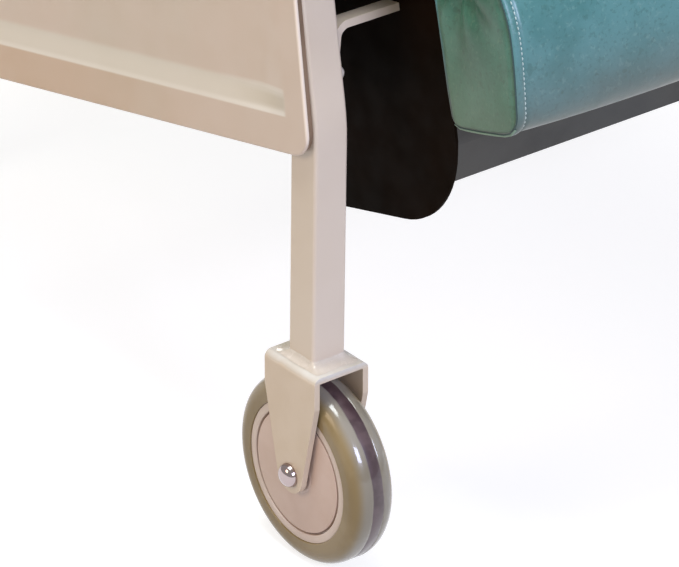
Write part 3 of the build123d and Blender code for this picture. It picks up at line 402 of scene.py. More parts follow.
def vinyl_material(name, tones, low_tint=None):
    """Flecked, grained vinyl; the last argument gives the heights between which a tone mixed in
    lower down fades out, and that tone.
    """
    light, dark, fleck_tone, scuff_tone = tones
    m = Mat(name)
    base = m.mix(m.span(m.noise(24, 4, 0.6), 0.36, 0.64), dark, light)
    scuffs = m.noise(310, 3, 0.6, stretch=(1.0, 1.3, 0.9))
    for spots, low, high, share, tone in (
        (m.noise(420, 3, 0.6), 0.54, 0.66, 0.4, fleck_tone),
        (scuffs, 0.56, 0.7, 0.22, scuff_tone),
        (m.noise(150, 2, 0.4), 0.66, 0.72, 0.4, fleck_tone),
    ):
        base = m.mix(m.math("MULTIPLY", m.span(spots, low, high), share), base, tone)
    if low_tint:
        low, high, tone = low_tint
        height = m.math("ADD", m.axis(2), m.math("MULTIPLY", m.noise(30), 0.012))
        base = m.mix(m.span(height, low, high, 0.75, 0.0), base, tone)
    grain = (m.cells(1100, "SMOOTH_F1"), 0.0001, 0.45)
    return m.finish(base, m.cloud(60, 3, 0.3, 0.42), grain, (m.noise(90, 4), 0.0006, 0.3))


def pad_material():
    m = Mat("arm_pad")
    tone = m.mix(m.cloud(30, 4), (144, 126, 106), (156, 139, 119))
    return m.finish(tone, 0.55, (m.cells(700), 0.00015, 0.5))


def wood_material():
    m = Mat("plywood")
    grain = m.noise(30, 6, 0.6, stretch=(1.0, 8.0, 8.0))
    tone = m.mix(m.span(grain, 0.3, 0.7), (132, 100, 66), (170, 137, 98))
    return m.finish(tone, 0.62, (grain, 0.0004, 0.4))


TEAL = (77, 123, 122), (63, 110, 108), (46, 88, 82), (128, 160, 152)
GREEN = (54, 104, 84), (38, 84, 64), (26, 62, 46), (104, 132, 106)
materials = {
    "frame_paint": plain(
        "paint", ((200, 183, 162), (206, 190, 171)), (9, 4), (60, 3, 0.28, 0.36),
        (130, 2, 0.00012, 0.3),
    ),
    "panel_plastic": panel_material(),
    "gloss_paint": plain(
        "gloss_paint", ((196, 184, 168), (205, 195, 182)), (70, 4), (160, 3, 0.16, 0.32),
        (260, 3, 0.0005, 0.45), Coat_Weight=0.4, Coat_Roughness=0.12,
    ),
    "arm_urethane": pad_material(),
    "tyre_rubber": tyre_material(),
    "hub_plastic": hub_material(),
    "bright_chrome": plain(
        "chrome", (172, 158, 158), rough=(300, 3, 0.05, 0.14), Metallic=1.0
    ),
    "zinc_steel": zinc_material(),
    "teal_vinyl": vinyl_material("vinyl", TEAL),
    "vinyl_end": vinyl_material("vinyl_end", GREEN),
    "vinyl_low": vinyl_material("vinyl_low", TEAL, (0.335, 0.405, (84, 78, 70))),
    "vinyl_end_low": vinyl_material("vinyl_end_low", GREEN, (0.30, 0.42, (84, 104, 76))),
    "dark_cover": plain(
        "cover", ((12, 6, 2), (22, 12, 5)), (18, 4), (50, 4, 0.5, 0.66), FINE_GRAIN,
        Specular_IOR_Level=0.02,
    ),
    "plywood": wood_material(),
    "black_plastic": black("black_plastic", 0.5),
    # brown for the faces in the gap behind the panel's lip: painted shade
    "panel_gap_shade": plain(
        "panel_gap_shade", ((122, 99, 78), (138, 113, 90)), (40, 3), 0.6, FINE_GRAIN
    ),
    "spring_black": black("spring_black", 0.22),
    "thread": thread("thread", (196, 210, 200)),
    # a dark tube along the seams and sewn channels: painted shade in their grooves
    "seam_shade": thread("seam_shade", (30, 58, 54)),
    "welt": thread("welt", (104, 126, 106)),
}

# ---- CAD nodes
slot_of = {part["node"]: part["material_slot"] for part in frame["record"]["subparts"]}
fork_finish = fork_material()
own_finish = {
    "front_cover": plain(
        "apron", ((27, 28, 29), (37, 33, 28)), (8, 3), (30, 4, 0.38, 0.55), FINE_GRAIN
    ),
    "right_front_fork": fork_finish,
    "left_front_fork": fork_finish,
}
for name, obj in nodes.items():
    mat = own_finish.get(name, materials[slot_of[name]])
    if obj.material_slots:
        for entry in obj.material_slots:
            entry.material = mat
    else:
        obj.data.materials.append(mat)


# ---- mesh helpers
def outward_mesh(name, verts, faces):
    """A mesh with its faces turned outward."""
    mesh = bpy.data.meshes.new(name)
    mesh.from_pydata([tuple(v) for v in verts], [], faces)
    work = bmesh.new()
    work.from_mesh(mesh)
    bmesh.ops.recalc_face_normals(work, faces=work.faces)
    work.to_mesh(mesh)
    work.free()
    return mesh


def piece(name, verts, faces, slot, body):
    """A smooth mesh piece with the slot's finish, riding on a body."""
    mesh = outward_mesh(name, verts, faces)
    mesh.polygons.foreach_set("use_smooth", [True] * len(mesh.polygons))
    mesh.materials.append(materials[slot])
    obj = linked(name, mesh)
    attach(obj, body)
    return obj


def box_outline(w, h):
    """Corners of a rectangle round the origin, from its half sizes."""
    return [(-w, -h), (w, -h), (w, h), (-w, h)]


def rounded(corners, radii, steps=6):
    """Closed outline with an arc at each corner."""
    out = []
    for i, (corner, radius) in enumerate(zip(corners, radii)):
        spot = Vector(corner)
        before = (Vector(corners[i - 1]) - spot).normalized()
        after = (Vector(corners[(i + 1) % len(corners)]) - spot).normalized()
        half = before.angle(after) / 2
        centre = spot + (before + after).normalized() * (radius / sin(half))
        start = spot + before * (radius / tan(half)) - centre
        end = spot + after * (radius / tan(half)) - centre
        swing = start.angle(end)
        for step in range(steps + 1):
            share = step / steps
            point = start * sin((1 - share) * swing) + end * sin(share * swing)
            out.append(tuple(centre + point / sin(swing)))
    return out


def filled(outline, pitch):
    """The closed outline with points at about this pitch along its long edges."""
    out = []
    for i, corner in enumerate(outline):
        start, end = Vector(corner), Vector(outline[(i + 1) % len(outline)])
        parts = max(1, round((end - start).length / pitch))
        out += [start.lerp(end, k / parts) for k in range(parts)]
    return out


def rings_faces(count, size, ends="closed"):
    """Quads between rings that follow each other, whose ends are closed, open or joined."""
    faces = []
    for k in range(count if ends == "joined" else count - 1):
        here, there = k * size, (k + 1) % count * size
        for i in range(size):
            j = (i + 1) % size
            faces.append((here + i, here + j, there + j, there + i))
    if ends == "closed":
        faces.append(tuple(range(size)))
        faces.append(tuple(range((count - 1) * size, count * size)))
    return faces


def lathe(name, centre, profile, slot, body, segments=112):
    """Closed profile of (along x, radius) in millimetres, turned about x through centre."""
    verts = []
    for step in range(segments):
        turn = 2 * pi * step / segments
        for x, r in profile:
            y, z = r * MM * sin(turn), r * MM * cos(turn)
            verts.append((centre[0] + x * MM, centre[1] + y, centre[2] + z))
    return piece(name, verts, rings_faces(segments, len(profile), "joined"), slot, body)


def tube(name, points, radius, slot, body, sides):
    """Round bar along a list of points."""
    verts = []
    last = len(points) - 1
    up = (points[1] - points[0]).normalized().orthogonal().normalized()
    for i, spot in enumerate(points):
        way = (points[min(i + 1, last)] - points[max(i - 1, 0)]).normalized()
        up = (up - way * up.dot(way)).normalized()
        across = way.cross(up)
        for k in range(sides):
            turn = 2 * pi * k / sides
            verts.append(spot + (up * cos(turn) + across * sin(turn)) * radius)
    return piece(name, verts, rings_faces(len(points), sides), slot, body)


def ease(value, low, high):
    """Smooth step from 0 at low to 1 at high."""
    share = min(1.0, max(0.0, (value - low) / (high - low)))
    return share * share * (3 - 2 * share)


def soften_edges(name):
    """Rounds a CAD fork's bent edges a little."""
    add = nodes[name].modifiers.new
    flat, bend = radians(1.0), radians(35)
    assign(add("weld", "WELD"), merge_threshold=0.00001)
    assign(add("flat", "DECIMATE"), decimate_type="DISSOLVE", angle_limit=flat)
    bevel = assign(add("bevel", "BEVEL"), width=0.0011, segments=3, limit_method="ANGLE")
    bevel.angle_limit = bend
    assign(add("normals", "WEIGHTED_NORMAL"), keep_sharp=True)


# ---- wheels
def wheel(name, body, x, y):
    """A tyre with a worn band, and a hub disc with a groove; profiles are in millimetres."""
    centre = (x, y, AXLE_Z)
    half, rim, crown, shoulder = 16, 47.4, 63.5, 11
    fringe = [(-half, rim), (half, rim), (half, crown), (-half, crown)]
    skin = rounded(fringe, [0.7, 0.7, shoulder, shoulder], 14)
    top = next(i for i, (a, b) in enumerate(zip(skin, skin[1:]), 1) if a[0] > 0 > b[0])
    worn = [(4.7, crown), (4.45, crown - 0.3), (4.1, crown - 0.12)]
    skin[top:top] = worn + [(-a, b) for a, b in reversed(worn)]
    tyre = lathe(f"{name}_tyre_skin", centre, skin, "tyre_rubber", body)
    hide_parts(f"{name}_tyre")
    face, floor, bore = 15.4, 12.0, 5.05
    disc = [
        (-face, rim), (-face, 42.1), (-floor, 42.0), (-floor, 40.7), (-face, 40.6),
        (-face + 0.5, 14.0), (-face + 0.2, 13.0), (-face + 0.2, bore),
    ]
    disc += [(-a, b) for a, b in reversed(disc)]
    radii = [0.5, 0.5, 0.1, 0.1, 0.5, 0.4, 0.4, 0.2]
    shape = rounded(disc, radii + radii[::-1], 3)
    hub = lathe(f"{name}_hub_disc", centre, shape, "hub_plastic", body)
    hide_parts(f"{name}_hub")


def cap_nut(name, side, way):
    """Domed chrome cap on one end of a front axle; its profile is in millimetres."""
    off_middle, flange, dome_length, dome_radius, near_axis = 0.0212, 1.0, 5.4, 7.8, 0.02
    profile = [(0.0, near_axis), (0.0, 7.9), (0.5, 8.0), (flange, 7.95)]
    for step in range(1, 12):
        turn = step * pi / 24
        profile.append((flange + dome_length * sin(turn), dome_radius * cos(turn)))
    profile.append((flange + dome_length, near_axis))
    centre = (side * WHEEL_X + way * off_middle, AXLE_Y, AXLE_Z)
    cap = lathe(name, centre, [(way * x, r) for x, r in profile], "bright_chrome", "frame", 64)
    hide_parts("front_axle_nuts")


def fork_weld(name, side, seed):
    """Ripple-surfaced weld bead round a front leg where it meets its fork's top."""
    half, wide, deep, high, pitch = 0.0126, 0.0044, 0.0092, 0.0052, 0.0011
    section = [(0.0, 1.0), (0.12, 0.62), (0.32, 0.32), (0.62, 0.14), (1.0, 0.02)]
    outline = filled(rounded(box_outline(1, 1), [0.2] * 4), pitch / half)
    verts = []
    for out, rise in section:
        for i, flat in enumerate(outline):
            ripple = 1 + 0.03 * sin(i * 1.3 + seed) + 0.05 * sin(i * 0.31 + 2 * seed)
            x = side * WHEEL_X + flat.x * (half + out * wide * ripple)
            y = AXLE_Y + flat.y * (half + out * deep * ripple)
            verts.append((x, y, FORK_TOP * MM + rise * high * ripple))
    piece(name, verts, rings_faces(len(section), len(outline), "open"), "gloss_paint", "frame")


# ---- cover and its brackets
CAD_CORNER, WIDE_CORNER = 0.046, 0.065  # radii of the cheeks' front lower corner
COVER_FRONT, COVER_TOE_Z = -0.0573, 0.23399  # where the cheeks' front and lower edges would meet
CORNER_RISE = 0.7717  # height of a corner arc's middle over that place, for a radius of 1


def reshaped(name, node_name, move):
    """A copy of a CAD node on the frame, with its vertices moved."""
    node = nodes[node_name]
    mesh = node.data.copy()
    mesh.transform(node.matrix_world)
    for vertex in mesh.vertices:
        move(vertex.co)
    copy = linked(name, mesh)
    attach(copy, "frame")
    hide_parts(node_name)


def hung(spot):
    """Tilts the brackets' hanging flats rearward of the leaning legs."""
    flats_top, lean = 0.361, 0.27
    spot.y += max(0.0, flats_top - spot.z) * lean


def corner_centre(radius):
    """Middle of an arc of this radius in the cover's front lower corner, as (y, z)."""
    return AXLE_Y + COVER_FRONT + radius, COVER_TOE_Z + CORNER_RISE * radius


def wide_corner(spot):
    """Moves the cheeks' front lower corner from its CAD arc to a wider one."""
    y, z = corner_centre(CAD_CORNER)
    way = Vector((0, spot.y - y, spot.z - z))
    on_arc = abs(way.length - CAD_CORNER) < 0.0003
    if on_arc and spot.y < y + 0.012 and spot.z < z + 0.001:
        y, z = corner_centre(WIDE_CORNER)
        way = way.normalized() * WIDE_CORNER
        spot.y, spot.z = y + way.y, z + way.z


def tucked(spot):
    """Brings the front sheet's foot back to the cheeks' wider corner, and down a little."""
    lower_by, over = 0.0012, 0.017
    drop = max(0.0, corner_centre(WIDE_CORNER)[1] - spot.z)
    spot.y += WIDE_CORNER - sqrt(WIDE_CORNER**2 - drop**2)
    spot.z -= lower_by * ease(drop, 0.0, over)


def bracket_weld(name, side):
    """Painted weld at the foot of a bracket's flat; its half axes are in millimetres."""
    along, radius = 5.5, 5.0
    centre = (side * 0.2898, AXLE_Y + 0.0008, 0.332)
    turns = [pi * (t + 0.1) / 16.2 for t in range(17)]
    shape = [(along * cos(turn), radius * sin(turn)) for turn in turns]
    lathe(name, centre, shape, "gloss_paint", "frame", 40)


# ---- side panels, in millimetres
def side_line(corners, i, inset):
    """An edge of the corners' quad as a place and a way, moved inward."""
    a, b = corners[i], corners[(i + 1) % 4]
    way = (b - a).normalized()
    return a + Vector((-way.y, way.x)) * inset, way


def meet(one, two):
    """Where two lines cross."""
    (p, d), (q, e) = one, two
    gap = q - p
    return p + d * ((gap.x * e.y - gap.y * e.x) / (d.x * e.y - d.y * e.x))


def panel_ring(corners, inset, radii):
    """Outline inset from the corners' quad, with the same points whatever the inset."""
    arc_points = 9
    lines = [side_line(corners, i, inset) for i in range(4)]
    spots = [tuple(meet(lines[i - 1], lines[i])) for i in range(4)]
    arcs = rounded(spots, radii, arc_points - 1)
    shares = (0.02, 0.05, 0.09, 0.14, 0.2, 0.3, 0.4, 0.5, 0.6, 0.7, 0.8, 0.86, 0.91, 0.95, 0.98)
    ring = []
    for first in range(0, 4 * arc_points, arc_points):
        turn = [Vector(p) for p in arcs[first : first + arc_points]]
        end = Vector(arcs[(first + arc_points) % len(arcs)])
        ring += turn + [turn[-1].lerp(end, s) for s in shares]
    return ring


def panel(name, side):
    """A lip turned in behind a narrow gap whose faces are brown as painted shade, a round rim, a
    border and a dished field.
    """
    outer_x, dish, rim = 324.0, 4.0, 1.6
    outer_radii, inner_radius, blend_inset = (17.0, 30.0, 8.0, 8.0), 14.0, 26
    corners = panel_frame()
    edges = [side_line(corners, i, 0) for i in range(4)]

    def crisp(reach):
        share = min(1.0, max(0.0, (reach - 25.0) / 17.0))
        return share * (1 + share - share * share)

    def depth(spot):
        gaps = [(spot - start, way) for start, way in edges]
        low, rear, top, front = (way.x * gap.y - way.y * gap.x for gap, way in gaps)
        return dish * crisp(low) * crisp(rear) * crisp(top) * ease(front, 14.0, 52.0)

    # Each loop's inset and depth from the outer face, from the lip's edge outward
    lip = [(30.0, 6.3), (1.9, 6.3), (1.5, 6.0), (1.4, 2.6), (1.2, 2.3), (0.5, 2.3), (0.15, 2.1)]
    gap_loops = (1, 4)  # the gap's faces, brown as painted shade, lie between these loops
    turns = [radians(15 * step) for step in range(7)]
    lip += [(rim - rim * cos(turn), rim - rim * sin(turn)) for turn in turns]
    face = [2.4, 5, 9, 13, 17, 21, 23.5, 24.6, 25.2, 26, 28, 30, 32, 34, 36, 38, 40, 41.2]
    face += [42.2, 43.5, 46, 49, 52, 56, 64, 90]
    loops = [(*loop, 0.0) for loop in lip] + [(inset, 0.0, 1.0) for inset in face]
    verts = []
    for inset, inward, dished in loops:
        blend = ease(inset, 0, blend_inset)
        radii = [max(2.0, (r - inset) * (1 - blend) + inner_radius * blend) for r in outer_radii]
        ring = panel_ring(corners, inset, radii)
        for spot in ring:
            x = outer_x - inward - dished * depth(spot)
            verts.append((side * x * MM, AXLE_Y + spot.x * MM, spot.y * MM))
    faces = rings_faces(len(loops), len(ring))
    shell = piece(f"{name}_shell", verts, faces, "panel_plastic", "frame")
    shell.data.materials.append(materials["panel_gap_shade"])
    first, last = gap_loops
    for polygon in shell.data.polygons[first * len(ring) : last * len(ring)]:
        polygon.material_index = 1
    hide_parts(name)


# ---- arm pads
def arm_pad(name, side):
    """Moulded pad with a rounded top edge along the arm rail, in millimetres."""
    start, length, half, nose = 36.0, 505, 35, 30
    tilt = radians(ARM_SLOPE)
    start_z = arm_z(start) + ARM_RISE
    steps = [(3, 0.4), (1.2, 0.7), (0.3, 2.2), (0, 5), (-0.4, 12), (-0.4, 20), (0, 25)]
    for step in range(1, 9):
        turn = radians(90 * step / 8)
        steps.append((11 - 11 * cos(turn), 25 + 10.4 * sin(turn)))
    steps += [(15, 35.9), (20, 36.2), (27, 36.4), (33.5, 36.4)]
    verts = []
    for inset, rise in steps:
        near, far, w = inset, length - inset, half - inset
        box = [(near, -w), (far, -w), (far, w), (near, w)]
        ring = rounded(box, [max(1.0, nose - inset)] * 4, 10)
        for along, across in ring:
            y = start + along * cos(tilt) + rise * sin(tilt)
            z = start_z - along * sin(tilt) + rise * cos(tilt)
            verts.append((side * WHEEL_X + across * MM, AXLE_Y + y * MM, z * MM))
    faces = rings_faces(len(steps), len(ring))
    pad = piece(f"{name}_form", verts, faces, "arm_urethane", "frame")
    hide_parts(name)


# ---- sewn cushions
END_STRIP = 0.038  # width beside each end where a cushion's rings lie closer
COARSE_ENDS = (0, 0.012, 0.026)
FINE_ENDS = (0, 0.0011, 0.0026, 0.0045, 0.0064, 0.0078, 0.009, 0.0115, 0.016, 0.024)
RING_PITCH = 0.014
STITCH_REACH = 0.0078  # from a cushion's end to its stitches


def resample(points, count, turn=0.0):
    """The polyline as count + 1 points, closer where it turns; turn is metres for each radian."""
    points = [Vector(p) for p in points]
    bends = [0.0] * len(points)
    if turn:
        for k in range(1, len(points) - 1):
            way = points[k] - points[k - 1]
            bends[k] = turn * way.angle(points[k + 1] - points[k]) / 2
    lengths = [0.0]
    for k, (a, b) in enumerate(zip(points, points[1:])):
        lengths.append(lengths[-1] + (b - a).length + bends[k] + bends[k + 1])
    out, k = [], 0
    for step in range(count + 1):
        reach = lengths[-1] * step / count
        while k < len(points) - 2 and lengths[k + 1] < reach:
            k += 1
        span = lengths[k + 1] - lengths[k]
        out.append(points[k].lerp(points[k + 1], min(1.0, (reach - lengths[k]) / span)))
    return out


def coons(sides):
    """Grid of points that fills four sides, each following the one before it."""
    low, right = sides[0], sides[1]
    high, left = sides[2][::-1], sides[3][::-1]
    n, m = len(low) - 1, len(right) - 1
    grid = []
    for j in range(m + 1):
        t = j / m
        row = []
        for i in range(n + 1):
            s = i / n
            ruled = low[i] * (1 - t) + high[i] * t + left[j] * (1 - s) + right[j] * s
            both = low[0] * ((1 - s) * (1 - t)) + low[n] * (s * (1 - t))
            both += high[0] * ((1 - s) * t) + high[n] * (s * t)
            row.append(ruled - both)
        grid.append(row)
    return grid


def cushion_form(section, stations):
    """(x, u, v) vertices, faces and ring size of a boxed cushion; section(x) gives four sides."""
    rings = [[p for side in section(x) for p in side[:-1]] for x in stations]
    size = len(rings[0])
    verts = [Vector((x, p.x, p.y)) for x, ring in zip(stations, rings) for p in ring]
    faces = rings_faces(len(stations), size, "open")
    for k in (0, len(stations) - 1):
        sides = section(stations[k])
        n, m = len(sides[0]) - 1, len(sides[1]) - 1
        first = len(verts)
        for row in coons(sides)[1:-1]:
            verts += [Vector((stations[k], p.x, p.y)) for p in row[1:-1]]
        base = k * size
        grid = [[base + i for i in range(n + 1)]]
        for j in range(1, m):
            start = first + (j - 1) * (n - 1)
            grid.append([base + size - j, *range(start, start + n - 1), base + n + j])
        grid.append([base + n + m + n - i for i in range(n + 1)])
        for low, high in zip(grid, grid[1:]):
            faces += [(low[i], low[i + 1], high[i + 1], high[i]) for i in range(n)]
    return verts, faces, size


def ring_stations(half, ends):
    """Places of a cushion's rings across x: at these reaches from its ends, and evenly between."""
    inner = half - END_STRIP
    count = round(2 * inner / RING_PITCH)
    between = [-inner + 2 * inner * k / count for k in range(count + 1)]
    return [-half + s for s in ends] + between + [half - s for s in reversed(ends)]


def held_vertices(pad, rings, size):
    """The coarse cushion's vertices on its end seams, its flat side and its sewn channels."""
    sides = pad.section(0.0)
    start = sum(len(side) - 1 for side in sides[: pad.flat_side])
    places = {i % size for i in range(start, start + len(sides[pad.flat_side]))}
    places |= set(pad.channel_places)
    pins = {k * size + i for k in range(rings) for i in places}
    return pins | set(range(size)) | set(range((rings - 1) * size, rings * size))


def inflate(coords, faces, pins, give, pressure):
    """Moves, up to give, of a closed cushion blown up as cloth with its pinned vertices held."""
    steps = 20
    mesh = outward_mesh("blown", coords, faces)
    obj = linked("blown", mesh)
    obj.vertex_groups.new(name="held").add(sorted(pins), 1.0, "REPLACE")
    cloth = obj.modifiers.new("cloth", "CLOTH")
    assign(cloth.settings, quality=6, mass=0.3, tension_stiffness=30, compression_stiffness=20)
    assign(cloth.settings, shear_stiffness=12, bending_stiffness=1.5, vertex_group_mass="held")
    assign(cloth.settings, use_pressure=True, uniform_pressure_force=pressure)
    cloth.settings.effector_weights.gravity = 0
    cloth.collision_settings.use_collision = False
    assign(cloth.point_cache, frame_start=1, frame_end=steps)
    for step in range(1, steps + 1):
        scene.frame_set(step)
    blown = obj.evaluated_get(bpy.context.evaluated_depsgraph_get()).data
    moves = []
    for vertex, start in zip(blown.vertices, coords):
        move = vertex.co - Vector(start)
        moves.append(move * min(1.0, give / max(move.length, 1e-9)))
    scene.frame_set(1)
    bpy.data.objects.remove(obj)
    bpy.data.meshes.remove(mesh)
    return moves


def blown_up(pad):
    """The cushion's fine vertices, moved as its coarse ones are, its faces and ring vertices."""
    coarse, fine = ring_stations(pad.half, COARSE_ENDS), ring_stations(pad.half, FINE_ENDS)
    local, faces, size = cushion_form(pad.section, coarse)
    pins = held_vertices(pad, len(coarse), size)
    moves = inflate([pad.at(*v) for v in local], faces, pins, pad.give, pad.pressure)
    local, faces, size = cushion_form(pad.section, fine)
    pushes = []
    for x in fine:
        low = max(i for i in range(len(coarse) - 1) if coarse[i] <= x + 1e-9)
        share = (x - coarse[low]) / (coarse[low + 1] - coarse[low])
        here, there = low * size, (low + 1) * size
        pushes += [moves[here + i].lerp(moves[there + i], share) for i in range(size)]
    pushes += moves[len(coarse) * size :]
    verts = [pad.at(*v) + push for v, push in zip(local, pushes)]
    return verts, faces, len(fine) * size


def subdivided(name, verts, faces, ring_verts):
    """The mesh made once finer, as vertices and faces, and how far each vertex is on an end."""
    mesh = bpy.data.meshes.new(name)
    mesh.from_pydata([tuple(v) for v in verts], [], faces)
    on_end = [0.0] * ring_verts + [1.0] * (len(verts) - ring_verts)
    mesh.attributes.new("end_share", "FLOAT", "POINT").data.foreach_set("value", on_end)
    rough = linked(name + "_rough", mesh)
    rough.modifiers.new("subdivide", "SUBSURF").levels = 1
    evaluated = rough.evaluated_get(bpy.context.evaluated_depsgraph_get())
    fine = bpy.data.meshes.new_from_object(evaluated)
    bpy.data.objects.remove(rough)
    shares = [0.0] * len(fine.vertices)
    fine.attributes["end_share"].data.foreach_get("value", shares)
    faces = [tuple(p.vertices) for p in fine.polygons]
    return [v.co.copy() for v in fine.vertices], faces, shares


def seam_rise(reach):
    """How far the vinyl stands out of its form, at this reach from the seam round its end."""
    puff = 0.0013 * sin(pi * min(1.0, max(0.0, reach / STITCH_REACH)))
    stitch = -0.0011 * exp(-(((reach - STITCH_REACH) / 0.0011) ** 2))
    groove = -0.0018 * exp(-((reach / 0.0008) ** 2))
    return puff + stitch + groove


def gather_rise(gap, spread):
    """How far the vinyl of an end stands outward, this far from the spot where it's pulled in."""
    turn = atan2(gap.y, gap.z)
    fade = exp(-((gap.length / spread) ** 2)) * ease(gap.length, 0.0, 0.008)
    fold = 0.0038 * sin(7 * turn + 1.2) * fade
    return fold - 0.008 * exp(-((gap.length / (0.6 * spread)) ** 2))


def sewn(pad):
    """A boxed cushion with a sewn seam round each end: blown up coarse, then made fine."""
    name, on_end = f"{pad.name}_pad", 0.01
    verts, faces, shares = subdivided(name, *blown_up(pad))
    obj = piece(name, verts, faces, "teal_vinyl", pad.body)
    skin, end_skin = (materials[finish_name] for finish_name in pad.finishes)
    obj.data.materials[0] = skin
    obj.data.materials.append(end_skin)
    for face, corners in zip(obj.data.polygons, faces):
        if sum(shares[c] for c in corners) > on_end:
            face.material_index = 1
    normals = [v.normal.copy() for v in obj.data.vertices]
    for vertex, normal, share in zip(obj.data.vertices, normals, shares):
        x = vertex.co.x
        if share <= on_end:
            vertex.co += normal * seam_rise(pad.half - abs(x))
        elif pad.gather:
            u, v, spread = pad.gather
            rise = gather_rise(vertex.co - pad.at(x, u, v), spread)
            vertex.co.x += copysign(share, x) * rise
    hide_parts(f"{pad.name}_cushion")
    return obj


# ---- cushions' sections, in millimetres
def arc(centre, radius, start, end, steps=8):
    """Points of an arc, with its angles in degrees."""
    out = []
    for k in range(steps + 1):
        angle = radians(start + (end - start) * k / steps)
        out.append(Vector(centre) + Vector((cos(angle), sin(angle))) * radius)
    return out


def bowed(a, b, rise, steps=16):
    """Points from a to b that stand out to the right of their way by the rise."""
    a, b = Vector(a), Vector(b)
    out_way = Vector(((b - a).y, -(b - a).x)).normalized()
    shares = [k / steps for k in range(steps + 1)]
    return [a.lerp(b, s) + out_way * (4 * rise * s * (1 - s)) for s in shares]


def chain(*lines):
    """The lines joined, where each starts at the end of the one before."""
    return [p for k, line in enumerate(lines) for p in line[min(k, 1) :]]


def sampled(points, count, turn=0.0):
    """The line in metres, in this many steps."""
    return resample([p * MM for p in points], count, turn)


def fullness(x, half):
    return 1 - min(1.0, abs(x) / half) ** 4


def placed(y, z, turn):
    """Makes places of a cushion's (x, u, v) in metres: u runs these degrees above rearward."""
    along, rise = cos(radians(turn)), sin(radians(turn))

    def at(x, u, v):
        return Vector((x, AXLE_Y + y + u * along - v * rise, z + u * rise + v * along))

    return at


LEGREST_HALF, HALF = 0.275, 0.265  # half widths: the leg rest, the seat and the back
SEAT_LENGTH = 478
SEAT_Y, SEAT_Z = -0.0443, 0.4671  # seat cushion's bottom front edge
BACK_PIVOT = SEAT_Y + SEAT_LENGTH * MM * cos(radians(BODY_TILT)) + 0.04545
BACK_REAR, BACK_HEAD, BACK_ROLLS = 61, 10, (21, 20, 20)  # steps along the back's sides


def legrest_section(x):
    """Two rolls with a pulled channel between them; the lower roll is the fuller one."""
    f = fullness(x, LEGREST_HALF)
    end, puff = 191.5 + 4 * f, 2.5 * f
    roll, toe_round, heel_round, heel = 33, 16, 8, 25
    fall, channel, crest = 48, 90.0, 130  # along u: where the upper roll falls, and the lower's top
    floor, swell, slump = 17.0, 20.5, 5.5
    top = arc((0, 0), roll, 135, 225)
    front = arc((0, 0), roll, 225, 270)
    for k in range(1, 15):
        u = channel * k / 14
        sink = max(0.0, (u - fall) / (channel - fall)) ** 3
        front.append(Vector((u, -roll - puff + (roll + puff - floor) * sink)))
    for k in range(1, 14):
        share = 1 - k / 13
        rise = sqrt(max(0.0, 1 - share * share))
        front.append(Vector((crest - (crest - channel) * share, -floor - (swell + puff) * rise)))
    for k in range(1, 9):
        u = crest + (end - (crest + toe_round)) * k / 8
        front.append(Vector((u, -floor - swell - puff + slump * (k / 8) ** 1.5)))
    toe = (end - toe_round, slump - floor - swell - puff + toe_round)
    front = chain(front, arc(toe, toe_round, 270, 315, 6))
    back_edge = (end - heel_round, heel)
    up = bowed((end, toe[1]), (end, heel), 0.5, 5)
    low = chain(arc(toe, toe_round, 315, 360, 6), up, arc(back_edge, heel_round, 0, 45, 4))
    pinch = 2.4 * ease(abs(x), 0.256, 0.272)
    rear = arc(back_edge, heel_round, 45, 90, 4)
    for k in range(1, 13):
        u = back_edge[0] * (1 - k / 12)
        rear.append(Vector((u, roll - pinch * sin(pi * min(1.0, u / 170)))))
    sides = (top, 8), (front, 42), (low, 8), (chain(rear, arc((0, 0), roll, 90, 135)), 42)
    return [sampled(*side, turn=0.008) for side in sides]


def seat_section(x):
    """Flat below, with a round nose, a low crown and a rounded rear edge."""
    f = fullness(x, HALF)
    draw = 5 * (1 - f)
    top = 86 - 9 * (1 - f) - 3 * f
    corner, nose_round = 16, 34
    end = SEAT_LENGTH - draw
    heel, shoulder = (end - corner, corner), (end - corner, top - corner)
    brow = (draw + nose_round, top - nose_round)
    bottom = bowed((draw, 0), (end - corner, 0), 0, 12)
    behind = bowed((end, corner), (end, top - corner), 2.0, 6)
    crown = bowed((end - corner, top), (draw + nose_round, top), 3.0 * f + 0.5)
    front = bowed((draw, top - nose_round), (draw, 0), 1.5, 6)
    low = chain(bottom, arc(heel, corner, -90, -45, 4))
    rear = chain(arc(heel, corner, -45, 0, 4), behind, arc(shoulder, corner, 0, 45, 4))
    over = chain(arc(shoulder, corner, 45, 90, 4), crown, arc(brow, nose_round, 90, 135, 5))
    nose = chain(arc(brow, nose_round, 135, 180, 5), front)
    return [sampled(*side) for side in ((low, 42), (rear, 9), (over, 42), (nose, 9))]


def back_section(x):
    """Flat behind, with three rolls in front that are parted by two sewn channels."""
    f = fullness(x, HALF)
    draw = 5 * (1 - f)
    low, high = 15 + draw, 780 - draw
    rear, face, sunk = -60.0, 40 - 10 * (1 - f) - 3 * f, 20
    head_round, foot_round = 40, 22
    crown, sole = (high - head_round, face - head_round), (low + foot_round, face - foot_round)
    behind = bowed((low, rear), (high, rear), 0, 12)
    head = bowed((high, rear), (high, face - head_round), 2.0, 5)
    head = chain(head, arc(crown, head_round, 0, 45, 6))
    foot = bowed((low, face - foot_round), (low, rear), 2.0, 5)
    foot = chain(arc(sole, foot_round, 135, 180, 4), foot)
    spots = [(crown[0], face), (515, face - sunk), (260, face - sunk), (sole[0], face)]
    rises = (11.0, 17.0, 11.0)
    rolls = [bowed(a, b, rise, 20) for a, b, rise in zip(spots, spots[1:], rises)]
    rolls[0] = chain(arc(crown, head_round, 45, 90, 6), rolls[0])
    rolls[2] = chain(rolls[2], arc(sole, foot_round, 90, 135, 4))
    down = chain(*(sampled(roll, count) for roll, count in zip(rolls, BACK_ROLLS)))
    return [sampled(behind, BACK_REAR), sampled(head, BACK_HEAD), down, sampled(foot, BACK_HEAD)]


